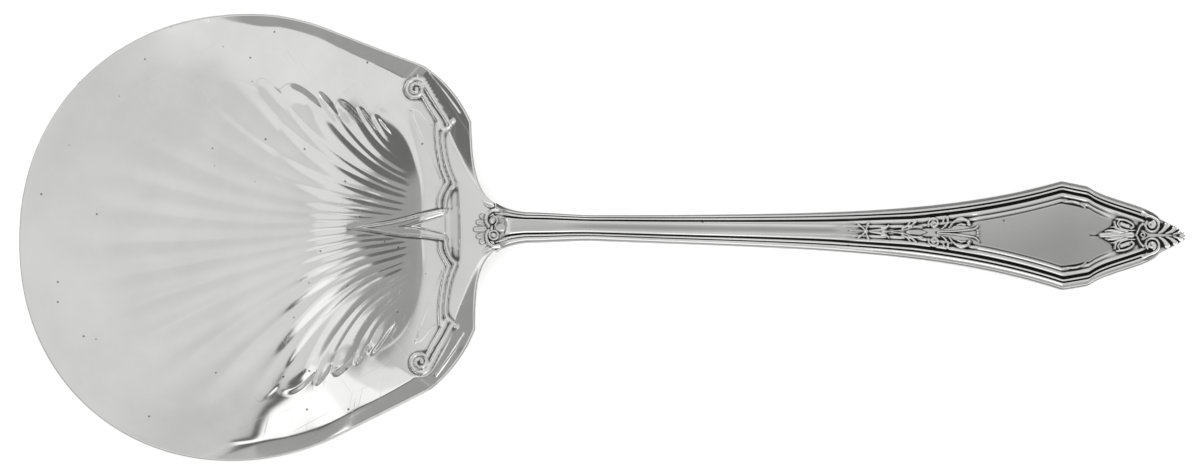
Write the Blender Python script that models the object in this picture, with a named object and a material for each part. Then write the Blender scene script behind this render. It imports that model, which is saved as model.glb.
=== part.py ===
"""Bonbon spoon in silver: a fluted shell bowl, held and brazed in the cleft end of a struck handle.

Lengths are in metres and angles in degrees. +X runs from the tip of the bowl towards the handle,
+Y across and +Z up. The origin is the middle of the flat under the bowl, and the spoon lies on
z = 0, on that flat and on the back of the handle's end. Angles round the bowl are counted from +X.
"""
import math

import bmesh
import bpy
from mathutils import Vector
from mathutils.geometry import delaunay_2d_cdt, interpolate_bezier

# Bowl plan
BOWL_RADIUS = 0.0244
TIP_REACH = 0.0242
TIP_SQUARENESS = 2.1
HEEL_REACH = 0.0026
CORNER_ANGLE = 40.8
CORNER_REACH = 0.0025
SHOULDER_HALF = 0.0112
SHOULDER_BACK = 0.00165
SHOULDER_BULGE = 0.00056
SHOULDER_PULL = 0.45
NECK_HALF = 0.00155
NECK_LENGTH = 0.004
NECK_PULL = 1.3
NECK_PULL_BACK = 0.0011
BUTT_REACH = 0.00065
TAB_LENGTH = 0.0028
TAB_HALF = 0.0012

# Bowl section
SHEET = 0.001
RIM_THICKNESS = 0.0008
REST_RADIUS = 0.0048
HEEL_HEIGHT = 0.0096
HEEL_RISE = 5.0
PLATE_ANGLE = 14.0
STEEP_ANGLE = 60.0
SHALLOW_ANGLE = 105.0
WALL_SHARE = 1.13
PRESS_START = 0.3
PRESS_FULL = 0.6

# Heights of the rim and of the crease inside it, by angle
RIM_HEIGHTS = ((41, 0.0098), (65, 0.0086), (90, 0.0068), (135, 0.0047), (180, 0.004))
CREASE_HEIGHTS = ((41, 0.008), (65, 0.0068), (90, 0.0056), (135, 0.0044), (180, 0.0037))
# Width of the flange outside the crease, and inset of the heel's border from the bowl's circle, by angle
FLANGE_WIDTHS = ((41, 0.0025), (60, 0.00185), (85, 0.0013), (120, 0.0009), (180, 0.0008))
BORDER_INSETS = ((0, 0.002), (11, 0.0016), (24, 0.0), (41, 0.0))

# Flutes
FLUTE_PITCH = 2.9
FLUTE_COUNT = 12
FLUTE_FOCUS = 0.002
FLUTE_STRAIGHT = 0.0165
FLUTE_EASE = 0.004
FLUTE_BEND = 52.0
FLUTE_SINK_SHARE = 0.2
FLUTE_FADE_START = 0.018
FLUTE_FADE_END = 0.038
FLUTE_END_SHARE = 0.77
FLUTE_SCALLOP_SHARE = 0.04

# Tongue and strapwork at the heel of the bowl
TONGUE_HALF = 0.00175
TONGUE_ROOT = 0.0054
TONGUE_FLAT = 0.0087
TONGUE_TIP = 0.0154
TONGUE_SIDE = 0.00035
STRAP_WIDTH = 0.00125
STRAP_HEIGHT = 0.0003
STRAP_ANGLES = (37.4, 24.1, 11.1, 4.7)
STRAP_INSETS = (0.0, 0.0, 0.0016, 0.0027)
VOLUTE_RADIUS = 0.00095
VOLUTE_HEIGHT = 0.00045

# Handle plan, along its axis from the heel
HANDLE_SET = 1.2
HANDLE_LENGTH = 0.0756
WAIST_PLACE = 0.011
WAIST_HALF = 0.0013
FLARE_SHARE = 0.24
FLARE_POWER = 4.2
CROWN_LENGTH = 0.0136
CROWN_HALF = 0.00592
CROWN_FLAT = 0.0029
CROWN_STEP = 0.00054
CROWN_PULL = 0.0016
CROWN_WAIST = 0.004
FINIAL_LENGTH = 0.003
FINIAL_PULL = 0.0014
FINIAL_NECK = 0.0034
FINIAL_SHOULDER = 0.002
FINIAL_HALF = 0.0017
FINIAL_TIP = 0.0002
FINIAL_TAPER = 0.75

# Handle section
STEM_THICKNESS = 0.0023
STEM_PLACE = 0.024
END_THICKNESS = 0.00205
TIP_THICKNESS = 0.0013
ARCH_HEIGHT = 0.0006
REST_LENGTH = 0.0104
EDGE_ROUND = 0.00045
MOULDING_WIDTH = 0.00225
MOULDING_SHARE = 0.86
PANEL_SINK = 0.0004
PANEL_START = 0.036
PANEL_FULL = 0.056
RIB_RISE = 0.0001
# Mouldings of the border: share of its width in from the edge, and depth below the outer bead
MOULDINGS = ((0.16, 0.00015), (0.33, 0.0), (0.44, 0.00025), (0.58, 0.00005), (0.69, 0.0003), (0.87, 0.00012))

# Terminal on the bowl
LIP_THICKNESS = 0.00055
LIP_VOLUTE_RADIUS = 0.00078
LIP_VOLUTE_PLACE = 0.0003
LIP_VOLUTE_RISE = 0.0002
FAN_RADIUS = 0.0015
FAN_LEAVES = 5
FAN_LEAF_SHARE = 0.18
FAN_THICKNESS = 0.0004
ROOT_OVERLAP = 0.001
DROP_LENGTH = 0.0032
DROP_HALF = 0.0021
DROP_THICKNESS = 0.0009
DROP_TIP = 0.00035

# Ornament struck on the handle
ORNAMENT_RISE = 0.00015
ORNAMENT_TAPER = 0.72
LEAF_START = 0.0425
LEAF_LENGTH = 0.0048
LEAF_HALF = 0.0011
LEAF_LOBES = 3
LOBE_SHARE = 0.2
LEAF_ROOT_SHARE = 0.25
TRUMPET_LENGTH = 0.0056
TRUMPET_MOUTH = 0.00095
TRUMPET_THROAT = 0.0004
TRUMPET_SCALLOP = 0.00025
CROWN_LEAF_REACH = 0.009
CROWN_LEAF_LENGTH = 0.0042
CROWN_LEAF_HALF = 0.0013
CROWN_VOLUTE_REACH = 0.0037
CROWN_VOLUTE_RADIUS = 0.00068
CROWN_VOLUTE_SPREAD = 0.0011

# Brazed joint
JOINT_CLEARANCE = 0.00012
LAP_GAP = 0.0003
FILM_THICKNESS = 0.00016
FILM_MARGIN = 0.00015

# Fineness of the meshes
RIM_STEP = 0.0012
FLUTE_STEP = 0.0017
FILL_STEP = 0.0023
STATION_STEP = 0.0016
DISC_SIDES = 20
SHARP_ANGLE = 18.0

HEEL_X = BOWL_RADIUS + HEEL_REACH
CORNER = HANDLE_LENGTH - CROWN_LENGTH
SECOND_CORNER = CORNER + CROWN_FLAT
CROWN_END = HANDLE_LENGTH - FINIAL_LENGTH


def monotone(table):
    """A smooth function through (place, value) pairs that never overshoots them."""
    places = [place for place, _ in table]
    values = [value for _, value in table]
    steps = [b - a for a, b in zip(places, places[1:])]
    rises = [(b - a) / step for a, b, step in zip(values, values[1:], steps)]
    slopes = [rises[0]]
    for before, after in zip(rises, rises[1:]):
        slopes.append(0.0 if before * after <= 0 else 2 * before * after / (before + after))
    slopes.append(rises[-1])

    def value_at(place):
        place = min(max(place, places[0]), places[-1])
        index = 0
        while index < len(steps) - 1 and place > places[index + 1]:
            index += 1
        step = steps[index]
        share = (place - places[index]) / step
        rest = 1 - share
        start = (values[index] * (1 + 2 * share) + slopes[index] * step * share) * rest ** 2
        end = (values[index + 1] * (3 - 2 * share) - slopes[index + 1] * step * rest) * share ** 2
        return start + end

    return value_at


def ease(low, high, value):
    """Smooth step from 0 at low to 1 at high."""
    share = min(max((value - low) / (high - low), 0.0), 1.0)
    return share * share * (3 - 2 * share)


def mix(start, end, share):
    """The value at a share of the way between two others."""
    return start + (end - start) * share


def polar(radius, degrees):
    """Plan point at an angle."""
    return (radius * math.cos(math.radians(degrees)), radius * math.sin(math.radians(degrees)))


def circle(centre, radius, sides=DISC_SIDES):
    """Points round a circle in plan."""
    ring = [polar(radius, 360 * index / sides) for index in range(sides)]
    return [(centre[0] + x, centre[1] + y) for x, y in ring]


def mirrored(points):
    """The same points on the other side of the spoon's axis, in reverse order."""
    return [(x, -y) for x, y in reversed(points)]


def bezier(start, first, second, end, count):
    """Points along a plan curve, both ends included."""
    knots = [Vector((x, y, 0)) for x, y in (start, first, second, end)]
    return [(point.x, point.y) for point in interpolate_bezier(*knots, count)]


def height_on(points, place):
    """The second value of a run of points where the first, which grows, has a given value."""
    if place <= points[0][0]:
        return points[0][1]
    for (x0, y0), (x1, y1) in zip(points, points[1:]):
        if x0 < place <= x1:
            return mix(y0, y1, (place - x0) / (x1 - x0))
    return points[-1][1]


def bowed(start, end, bulge, count):
    """Points along a shallow bow that stands out to the left of its chord."""
    chord = Vector(end) - Vector(start)
    side = Vector((-chord.y, chord.x)).normalized()
    points = []
    for index in range(count + 1):
        share = index / count
        spot = Vector(start) + chord * share + side * bulge * 4 * share * (1 - share)
        points.append((spot.x, spot.y))
    return points


def neck_curve(count):
    """Edge of the spoon from the bowl's shoulder into the neck, on the +Y side."""
    shoulder = (HEEL_X - SHOULDER_BACK, SHOULDER_HALF)
    neck = (HEEL_X + NECK_LENGTH, NECK_HALF)
    pulls = ((shoulder[0], SHOULDER_HALF * SHOULDER_PULL), (HEEL_X - NECK_PULL_BACK, NECK_HALF * NECK_PULL))
    return bezier(shoulder, *pulls, neck, count)


NECK = neck_curve(60)


def bowl_edge():
    """Half of the bowl's outline on the +Y side, from the end of the tab to the tip."""
    corner = polar(BOWL_RADIUS + CORNER_REACH, CORNER_ANGLE)
    shoulder = (HEEL_X - SHOULDER_BACK, SHOULDER_HALF)
    butt = HEEL_X + BUTT_REACH
    end = butt + TAB_LENGTH
    points = [(end, 0.0), (end, TAB_HALF), (butt, TAB_HALF), (butt, height_on(NECK, butt))]
    points += [point for point in reversed(neck_curve(24)) if point[0] < butt - JOINT_CLEARANCE]
    points += bowed(corner, shoulder, SHOULDER_BULGE, 7)[-2::-1]
    touch = CORNER_ANGLE + math.degrees(math.acos(BOWL_RADIUS / (BOWL_RADIUS + CORNER_REACH)))
    tangent = polar(BOWL_RADIUS, touch)
    steps = max(2, round(math.dist(corner, tangent) / RIM_STEP))
    for index in range(1, steps):
        share = index / steps
        points.append((mix(corner[0], tangent[0], share), mix(corner[1], tangent[1], share)))
    steps = round(math.radians(180 - touch) * BOWL_RADIUS / RIM_STEP)
    for index in range(steps + 1):
        x, y = polar(1, mix(touch, 180, index / steps))
        if x >= 0:
            points.append((BOWL_RADIUS * x, BOWL_RADIUS * y))
        else:
            power = 2 / TIP_SQUARENESS
            points.append((-TIP_REACH * (-x) ** power, BOWL_RADIUS * max(y, 0.0) ** power))
    return points


BOWL_EDGE = bowl_edge()
EDGE_BY_ANGLE = [(math.degrees(math.atan2(y, x)), math.hypot(x, y)) for x, y in BOWL_EDGE]
RIM_HEIGHT = monotone(RIM_HEIGHTS)
CREASE_HEIGHT = monotone(CREASE_HEIGHTS)
FLANGE_WIDTH = monotone(FLANGE_WIDTHS)
BORDER_INSET = monotone(BORDER_INSETS)


def heel_plane(x):
    """Top of the flat heel plate, which runs on as the tab."""
    return HEEL_HEIGHT + (x - HEEL_X) * math.tan(math.radians(HEEL_RISE))


def crease_radius(degrees):
    """Distance from the origin of the line where the dish meets the flange or the heel plate."""
    if degrees < CORNER_ANGLE:
        return BOWL_RADIUS - BORDER_INSET(degrees)
    return height_on(EDGE_BY_ANGLE, degrees) - FLANGE_WIDTH(degrees)


def dish_height(x, y):
    """Top of the plain bowl, without flutes and strapwork, and how far out it is: 1 is the crease."""
    degrees = abs(math.degrees(math.atan2(y, x)))
    turn = math.cos(math.radians(degrees))
    radius = math.hypot(x, y)
    crease = crease_radius(degrees)
    rim = max(height_on(EDGE_BY_ANGLE, degrees), crease + JOINT_CLEARANCE)
    flange = ease(PLATE_ANGLE, CORNER_ANGLE, degrees)
    crease_top = mix(heel_plane(crease * turn), CREASE_HEIGHT(degrees), flange)
    rim_top = mix(heel_plane(rim * turn), RIM_HEIGHT(degrees), flange)
    out = radius / crease
    if out > 1:
        return mix(crease_top, rim_top, (radius - crease) / (rim - crease)), out
    flat = REST_RADIUS / crease
    climb = max(0.0, out - flat) / (1 - flat)
    steep = ease(0, WALL_SHARE, climb) / ease(0, WALL_SHARE, 1)
    rise = mix(steep, climb ** 2, ease(STEEP_ANGLE, SHALLOW_ANGLE, degrees))
    return mix(SHEET, crease_top, rise), out


def flute_bend(reach):
    """How far the flutes have swung outwards at a distance from their focus."""
    past = reach - FLUTE_STRAIGHT
    return 1 + FLUTE_BEND * (past + math.hypot(past, FLUTE_EASE)) / 2


def flute_point(number, reach):
    """Plan point on the line of a flute, counted out from the spoon's axis."""
    x, y = polar(reach, number * FLUTE_PITCH * flute_bend(reach))
    return (HEEL_X + FLUTE_FOCUS - x, y)


def flute_depth(x, y, out, channel=None):
    """Depth of the flutes, which are channels between sharp ridges and end in round scallops.

    A channel of 1 asks for the depth along the middle of a flute, wherever the point lies.
    """
    run = HEEL_X + FLUTE_FOCUS - x
    reach = math.hypot(run, y)
    pitch = FLUTE_PITCH * flute_bend(reach)
    if channel is None:
        channel = abs(math.sin(math.pi * math.degrees(math.atan2(y, run)) / pitch))
    end = FLUTE_END_SHARE + FLUTE_SCALLOP_SHARE * channel
    fade = 1 - ease(end - FLUTE_SCALLOP_SHARE, end + FLUTE_SCALLOP_SHARE, out)
    fade *= 1 - ease(FLUTE_FADE_START, FLUTE_FADE_END, reach)
    return FLUTE_SINK_SHARE * reach * math.radians(pitch) * channel * fade


def tongue_half(x):
    """Half width of the pointed tongue that runs from the heel plate down into the bowl."""
    return TONGUE_HALF * (x - HEEL_X + TONGUE_TIP) / (TONGUE_TIP - TONGUE_ROOT)


def tongue_side(x):
    """Width of the tongue's sloping side, which closes with the tongue at its tip."""
    return TONGUE_SIDE * min(1.0, 2 * tongue_half(x) / TONGUE_HALF)


def tongue_height(x, y):
    """Top of the tongue, or below the bowl where there is none."""
    half = tongue_half(x)
    if half <= 0 or x > HEEL_X - TONGUE_ROOT:
        return -SHEET
    tip = HEEL_X - TONGUE_TIP
    flat = HEEL_X - TONGUE_FLAT
    foot = dish_height(tip, 0.0)[0]
    ramp = mix(foot, heel_plane(flat), (x - tip) / (flat - tip))
    side = max(0.0, abs(y) - half) / tongue_side(x)
    return min(ramp, heel_plane(x)) - side * (ramp - foot)


STRAP = [polar(BOWL_RADIUS - inset, degrees) for degrees, inset in zip(STRAP_ANGLES, STRAP_INSETS)]


def strap_height(x, y):
    """Height that the strapwork and its volutes add."""
    spot = Vector((x, abs(y)))
    nearest = BOWL_RADIUS
    for start, end in zip(STRAP, STRAP[1:]):
        run = Vector(end) - Vector(start)
        away = spot - Vector(start)
        share = min(max(away.dot(run) / run.length_squared, 0.0), 1.0)
        nearest = min(nearest, (away - run * share).length)
    band = STRAP_HEIGHT * max(0.0, 1 - (2 * nearest / STRAP_WIDTH) ** 2)
    eye = (spot - Vector(STRAP[0])).length / VOLUTE_RADIUS
    return max(band, VOLUTE_HEIGHT * max(0.0, 1 - eye ** 2))


def bowl_heights(x, y):
    """Top and underside of the struck sheet at a plan point."""
    dish, out = dish_height(x, y)
    sink = flute_depth(x, y, out) if out < 1 else 0.0
    top = max(dish - sink, tongue_height(x, y)) + strap_height(x, y)
    degrees = abs(math.degrees(math.atan2(y, x)))
    rim = ease(1.0, 1.05, out) * ease(PLATE_ANGLE, CORNER_ANGLE, degrees)
    pressed = sink * ease(PRESS_START, PRESS_FULL, out)
    return top, dish - pressed - mix(SHEET, RIM_THICKNESS, rim)


def strap_line(aside):
    """The strapwork's centre line moved sideways, with a point about every strap's width."""
    line = []
    for start, end in zip(STRAP, STRAP[1:]):
        run = Vector(end) - Vector(start)
        side = Vector((-run.y, run.x)).normalized() * aside
        count = max(2, round(run.length / STRAP_WIDTH))
        for index in range(count + 1):
            spot = Vector(start) + run * index / count + side
            line.append((spot.x, spot.y))
    return line


def flute_line(number):
    """Plan curve along a ridge, or between ridges, from the heel to where the flute has faded."""
    line = []
    reach = FLUTE_STRAIGHT / 2
    while reach < FLUTE_FADE_END:
        x, y = flute_point(number, reach)
        in_dish = dish_height(x, y)[1] < FLUTE_END_SHARE + 2 * FLUTE_SCALLOP_SHARE
        if in_dish and (number == 0 or y > tongue_half(x) + 2 * TONGUE_SIDE):
            line.append((x, y))
        reach += FLUTE_STEP
    return line


def side_lines():
    """Plan curves that the bowl's mesh follows on the +Y side: crease, flutes, tongue and strapwork."""
    lines = [[polar(crease_radius(degrees), degrees) for degrees in range(43, 130, 3)]]
    for half_number in range(1, 2 * FLUTE_COUNT):
        line = flute_line(half_number / 2)
        if len(line) > 1:
            lines.append(line)
    tip = HEEL_X - TONGUE_TIP
    root = HEEL_X - TONGUE_ROOT
    places = [mix(tip, root, index / 8) for index in range(1, 9)]
    lines.append([(x, tongue_half(x)) for x in places])
    lines.append([(x, tongue_half(x) + tongue_side(x)) for x in places])
    for aside in (-STRAP_WIDTH / 2, 0.0, STRAP_WIDTH / 2):
        lines.append(strap_line(aside))
    eye = circle(STRAP[0], VOLUTE_RADIUS, DISC_SIDES // 2)
    lines.append(eye + eye[:1])
    return lines


def fill_points(taken, keep):
    """A triangular pattern of points over the bowl, clear of the points that are taken."""
    points = []
    reach = BOWL_RADIUS + CORNER_REACH
    rows = int(2 * reach / FILL_STEP)
    for row in range(rows + 1):
        y = -reach + row * 2 * reach / rows
        x = -BOWL_RADIUS + (row % 2) * FILL_STEP / 2
        while x < HEEL_X - SHOULDER_BACK:
            degrees = abs(math.degrees(math.atan2(y, x)))
            inside = math.hypot(x, y) < height_on(EDGE_BY_ANGLE, degrees) - keep
            fluted = flute_depth(x, y, dish_height(x, y)[1], 1.0) > SHEET / 100
            if inside and not fluted and all(math.dist((x, y), point) > keep for point in taken):
                points.append((x, y))
            x += FILL_STEP
    return points


def make_bowl():
    """The struck bowl with its heel plate and tab: a plan of feature curves, lifted to two heights."""
    outline = BOWL_EDGE[1:] + mirrored(BOWL_EDGE[1:-1])
    points = list(outline)
    edges = []
    curves = side_lines()
    curves += [mirrored(line) for line in curves]
    rest = circle((0.0, 0.0), REST_RADIUS)
    curves += [rest + rest[:1], flute_line(0)]
    for line in curves:
        first = len(points)
        points += line
        edges += [(index, index + 1) for index in range(first, len(points) - 1)]
    points += fill_points(points, FILL_STEP * 0.55)
    loop = list(range(len(outline)))
    plan = delaunay_2d_cdt([Vector(point) for point in points], edges, [loop], 1, SHEET / 50)
    spots, faces = plan[0], plan[2]

    shape = bmesh.new()
    tops = []
    unders = []
    for spot in spots:
        top, under = bowl_heights(spot.x, spot.y)
        tops.append(shape.verts.new((spot.x, spot.y, top)))
        unders.append(shape.verts.new((spot.x, spot.y, under)))
    sides = set()
    for face in faces:
        shape.faces.new([tops[index] for index in face])
        shape.faces.new([unders[index] for index in reversed(face)])
        sides.update(zip(face, face[1:] + face[:1]))
    for a, b in sorted(sides):
        if (b, a) not in sides:
            shape.faces.new((tops[b], tops[a], unders[a], unders[b]))
    return new_object("bowl", finish_mesh("bowl", shape), (0.82, 0.81, 0.79), 0.18)


def new_object(name, mesh, colour, roughness, parent=None):
    """A named object with its own silver material."""
    material = bpy.data.materials.new(name)
    material.use_nodes = True
    shader = material.node_tree.nodes["Principled BSDF"]
    shader.inputs["Base Color"].default_value = (*colour, 1.0)
    shader.inputs["Metallic"].default_value = 1.0
    shader.inputs["Roughness"].default_value = roughness
    mesh.materials.append(material)
    return link(bpy.data.objects.new(name, mesh), parent)


def link(made, parent=None):
    """Puts an object in the scene, under a parent where it has one."""
    bpy.context.collection.objects.link(made)
    made.parent = parent
    return made


def helper(name, mesh, parent=None):
    """An object that only shapes another one."""
    made = link(bpy.data.objects.new(name, mesh), parent)
    made.hide_render = True
    made.display_type = "WIRE"
    return made


def join(body, tool, operation):
    """Boolean of a body with a helper; the exact solver loses the body at the lip's near-flush top."""
    cut = body.modifiers.new(tool.name, "BOOLEAN")
    cut.operation = operation
    cut.solver = "MANIFOLD"
    cut.object = tool


def finish_mesh(name, shape):
    """A mesh from a bmesh, with its faces pointing out and round faces shaded smooth."""
    bmesh.ops.recalc_face_normals(shape, faces=shape.faces[:])
    mesh = bpy.data.meshes.new(name)
    shape.to_mesh(mesh)
    shape.free()
    mesh.shade_smooth()
    mesh.set_sharp_from_angle(angle=math.radians(SHARP_ANGLE))
    return mesh


def prism(name, outline, low, high, taper=1.0):
    """A closed solid over a plan outline, between two height functions of x, drawn in at the top."""
    shape = bmesh.new()
    centre = (sum(x for x, _ in outline) / len(outline), sum(y for _, y in outline) / len(outline))
    drawn = [(mix(centre[0], x, taper), mix(centre[1], y, taper)) for x, y in outline]
    lower = [shape.verts.new((x, y, low(x))) for x, y in outline]
    upper = [shape.verts.new((x, y, high(x))) for x, y in drawn]
    shape.faces.new(lower)
    shape.faces.new(upper)
    for index in range(len(outline)):
        follow = (index + 1) % len(outline)
        shape.faces.new((lower[index], lower[follow], upper[follow], upper[index]))
    return finish_mesh(name, shape)


def crown_curve(count):
    """Edge of the crown from its second corner to the finial, on the +Y side."""
    corner = (SECOND_CORNER, CROWN_HALF - CROWN_STEP)
    pulls = ((SECOND_CORNER + CROWN_PULL, CROWN_WAIST), (CROWN_END - FINIAL_PULL, FINIAL_NECK))
    return bezier(corner, *pulls, (CROWN_END, FINIAL_SHOULDER), count)


CROWN_CURVE = crown_curve(40)


def handle_half(along):
    """Half width of the handle at a distance from the heel."""
    if along < NECK_LENGTH:
        return height_on(NECK, HEEL_X + along)
    if along < WAIST_PLACE:
        return mix(NECK_HALF, WAIST_HALF, ease(NECK_LENGTH, WAIST_PLACE, along))
    if along < CORNER:
        share = (along - WAIST_PLACE) / (CORNER - WAIST_PLACE)
        return mix(WAIST_HALF, CROWN_HALF, mix(share ** FLARE_POWER, share, FLARE_SHARE))
    if along < SECOND_CORNER:
        return CROWN_HALF - CROWN_STEP * (along - CORNER) / CROWN_FLAT
    if along < CROWN_END:
        return height_on(CROWN_CURVE, along)
    share = (along - CROWN_END) / FINIAL_LENGTH
    return mix(FINIAL_TIP, FINIAL_HALF, max(0.0, 1 - share) ** FINIAL_TAPER)


def handle_spine():
    """Height of the handle's back by distance from the heel: nearly straight, level at its end."""
    start = heel_plane(HEEL_X + BUTT_REACH) - SHEET - LAP_GAP - DROP_THICKNESS
    rest = HANDLE_LENGTH - REST_LENGTH
    table = [(0.0, start), (NECK_LENGTH, start)]
    for share in (0.25, 0.5, 0.75, 0.92):
        level = start * (1 - share) + ARCH_HEIGHT * math.sin(math.pi * share)
        table.append((mix(NECK_LENGTH, rest, share), level))
    return monotone(table + [(rest, 0.0), (HANDLE_LENGTH, 0.0)])


def handle_thickness():
    """Thickness of the handle from its back to its outer bead, by distance from the heel."""
    neck = JOINT_CLEARANCE + LIP_THICKNESS + SHEET + LAP_GAP + DROP_THICKNESS
    return monotone(((0.0, neck), (NECK_LENGTH, neck), (STEM_PLACE, STEM_THICKNESS), (CORNER, END_THICKNESS),
                     (CROWN_END, END_THICKNESS), (HANDLE_LENGTH, TIP_THICKNESS)))


HANDLE_BACK = handle_spine()
HANDLE_THICKNESS = handle_thickness()


def handle_crest(along):
    """Height of the handle's outer bead."""
    return HANDLE_BACK(along) + HANDLE_THICKNESS(along)


def handle_section(along):
    """One closed section of the handle: flat back, round edges, and mouldings round a sunk panel."""
    back = HANDLE_BACK(along)
    crest = handle_crest(along)
    half = handle_half(along)
    border = min(MOULDING_WIDTH, MOULDING_SHARE * half)
    round_edge = min(EDGE_ROUND, half * 0.4)
    depth = (border / MOULDING_WIDTH) ** 0.5 * (1 - ease(CROWN_END - FINIAL_LENGTH / 2, CROWN_END, along))
    panel = ease(PANEL_START, PANEL_FULL, along)
    inner = MOULDINGS[-1][1]
    right = [(half - round_edge, back), (half, back + round_edge), (half, mix(back, crest, 0.75))]
    right += [(half - border * share, crest - sink * depth) for share, sink in MOULDINGS]
    right.append((half - border, crest - mix(inner, PANEL_SINK, panel) * depth))
    middle = (0.0, crest - mix(-RIB_RISE, PANEL_SINK, panel) * depth)
    return [(0.0, back)] + right + [middle] + [(-y, z) for y, z in reversed(right)]


def handle_stations():
    """Places of the sections: close together in the crown, and at every corner of the outline."""
    start = BUTT_REACH + JOINT_CLEARANCE
    crown = mix(SECOND_CORNER, CROWN_END, 0.3)
    knots = [start, NECK_LENGTH, WAIST_PLACE, CORNER, SECOND_CORNER, crown, CROWN_END, HANDLE_LENGTH]
    steps = [STATION_STEP * share for share in (0.4, 1, 1, 1, 0.3, 0.6, 0.4)]
    stations = []
    for low, high, step in zip(knots, knots[1:], steps):
        count = max(1, round((high - low) / step))
        stations += [mix(low, high, index / count) for index in range(count)]
    return stations + [HANDLE_LENGTH]


def make_handle(frame):
    """The struck handle, with its ornament and the terminal that grips the heel plate."""
    shape = bmesh.new()
    rings = []
    for along in handle_stations():
        rings.append([shape.verts.new((along, y, z)) for y, z in handle_section(along)])
    for ring, after in zip(rings, rings[1:]):
        for index in range(len(ring)):
            follow = (index + 1) % len(ring)
            shape.faces.new((ring[index], ring[follow], after[follow], after[index]))
    caps = [shape.faces.new(rings[0]), shape.faces.new(rings[-1])]
    bmesh.ops.triangulate(shape, faces=caps)
    handle = new_object("handle", finish_mesh("handle", shape), (0.80, 0.79, 0.77), 0.2, frame)

    pieces = [terminal_disc("lip_fan", frame, fan_outline(), FAN_THICKNESS), drop_tongue(frame)]
    pieces += [ornament("leaf", frame, leaf_outline(LEAF_START, LEAF_LENGTH, LEAF_HALF)),
               ornament("trumpet", frame, trumpet_outline()),
               ornament("crown_leaf", frame, crown_leaf_outline())]
    for side in (-1, 1):
        spot = (LIP_VOLUTE_PLACE, side * LIP_VOLUTE_RADIUS * 0.97)
        pieces.append(terminal_disc("lip_volute", frame, circle(spot, LIP_VOLUTE_RADIUS),
                                    LIP_THICKNESS + LIP_VOLUTE_RISE))
        spot = (HANDLE_LENGTH - CROWN_VOLUTE_REACH, side * CROWN_VOLUTE_SPREAD)
        pieces.append(ornament("crown_volute", frame, circle(spot, CROWN_VOLUTE_RADIUS)))
    for piece in pieces:
        join(handle, piece, "UNION")
    join(handle, mortise(), "DIFFERENCE")
    return handle


def fan_outline():
    """Leafy half round of the palmette that lies on the heel plate, run on under the handle."""
    points = []
    for index in range(4 * FAN_LEAVES + 1):
        degrees = 180 * index / (4 * FAN_LEAVES)
        leaf = abs(math.sin(math.radians(degrees * FAN_LEAVES)))
        points.append(polar(FAN_RADIUS * (1 - FAN_LEAF_SHARE * (1 - leaf)), 90 + degrees))
    root = BUTT_REACH + ROOT_OVERLAP
    return points + [(root, -LIP_VOLUTE_RADIUS), (root, LIP_VOLUTE_RADIUS)]


def leaf_outline(start, length, half):
    """A pointed leaf along the handle, with lobed sides, from its root to its tip."""
    side = []
    for index in range(4 * LEAF_LOBES + 1):
        share = index / (4 * LEAF_LOBES)
        lobe = 1 - LOBE_SHARE * abs(math.cos(math.pi * LEAF_LOBES * share))
        swell = mix(math.sin(math.pi * share), 1 - share, LEAF_ROOT_SHARE)
        side.append((start + length * share, half * lobe * swell))
    return side[:-1] + [(start + length, 0.0)] + mirrored(side[:-1])


def crown_leaf_outline():
    """The leaf at the crown's end, which points back along the handle."""
    root = HANDLE_LENGTH - CROWN_LEAF_REACH + CROWN_LEAF_LENGTH
    return leaf_outline(root, -CROWN_LEAF_LENGTH, CROWN_LEAF_HALF)


def trumpet_outline():
    """A flared bell that runs from the leaf to the panel, with a scalloped mouth."""
    start = LEAF_START + LEAF_LENGTH - ROOT_OVERLAP / 2
    end = start + TRUMPET_LENGTH
    side = []
    for share in (0.0, 0.5, 0.8, 1.0):
        side.append((mix(start, end, share), mix(TRUMPET_THROAT, TRUMPET_MOUTH, share ** 2)))
    side.append((end + TRUMPET_SCALLOP, TRUMPET_MOUTH / 2))
    return side + [(end, 0.0)] + mirrored(side)


def ornament(name, frame, outline):
    """A struck ornament that stands on the handle's face and rises a little above its border."""
    def low(along):
        return handle_crest(along) - 2 * PANEL_SINK

    def high(along):
        return handle_crest(along) + ORNAMENT_RISE

    return helper(name, prism(name, outline, low, high, ORNAMENT_TAPER), frame)


def terminal_disc(name, frame, outline, thickness):
    """A flat part of the lip, lying just above the heel plate."""
    def low(along):
        return heel_plane(HEEL_X + along) + JOINT_CLEARANCE

    def high(along):
        return low(along) + thickness

    return helper(name, prism(name, outline, low, high), frame)


def drop_outline(margin, root, half):
    """Plan of the rounded drop under the heel plate, from its root to its tip."""
    points = []
    for index in range(DISC_SIDES + 1):
        x, y = polar(1, 90 + 180 * index / DISC_SIDES)
        points.append((x * (DROP_LENGTH - margin), y * (DROP_HALF - margin)))
    return points + [(root, -half), (root, half)]


def drop_tongue(frame):
    """The drop: it thins towards its tip and runs into the handle at its root."""
    def high(along):
        return heel_plane(HEEL_X + along) - SHEET - LAP_GAP

    def low(along):
        share = min(max(along / DROP_LENGTH + 1, 0.0), 1.0)
        return high(along) - mix(DROP_TIP, DROP_THICKNESS, share)

    outline = drop_outline(0.0, BUTT_REACH + ROOT_OVERLAP, NECK_HALF)
    return helper("drop_tongue", prism("drop_tongue", outline, low, high), frame)


def mortise():
    """The slot in the handle that takes the bowl's tab."""
    half = TAB_HALF + JOINT_CLEARANCE
    end = HEEL_X + BUTT_REACH + TAB_LENGTH + JOINT_CLEARANCE
    outline = [(HEEL_X, -half), (end, -half), (end, half), (HEEL_X, half)]

    def low(x):
        return heel_plane(x) - SHEET - JOINT_CLEARANCE

    def high(x):
        return heel_plane(x) + JOINT_CLEARANCE

    return helper("mortise", prism("mortise", outline, low, high))


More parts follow.
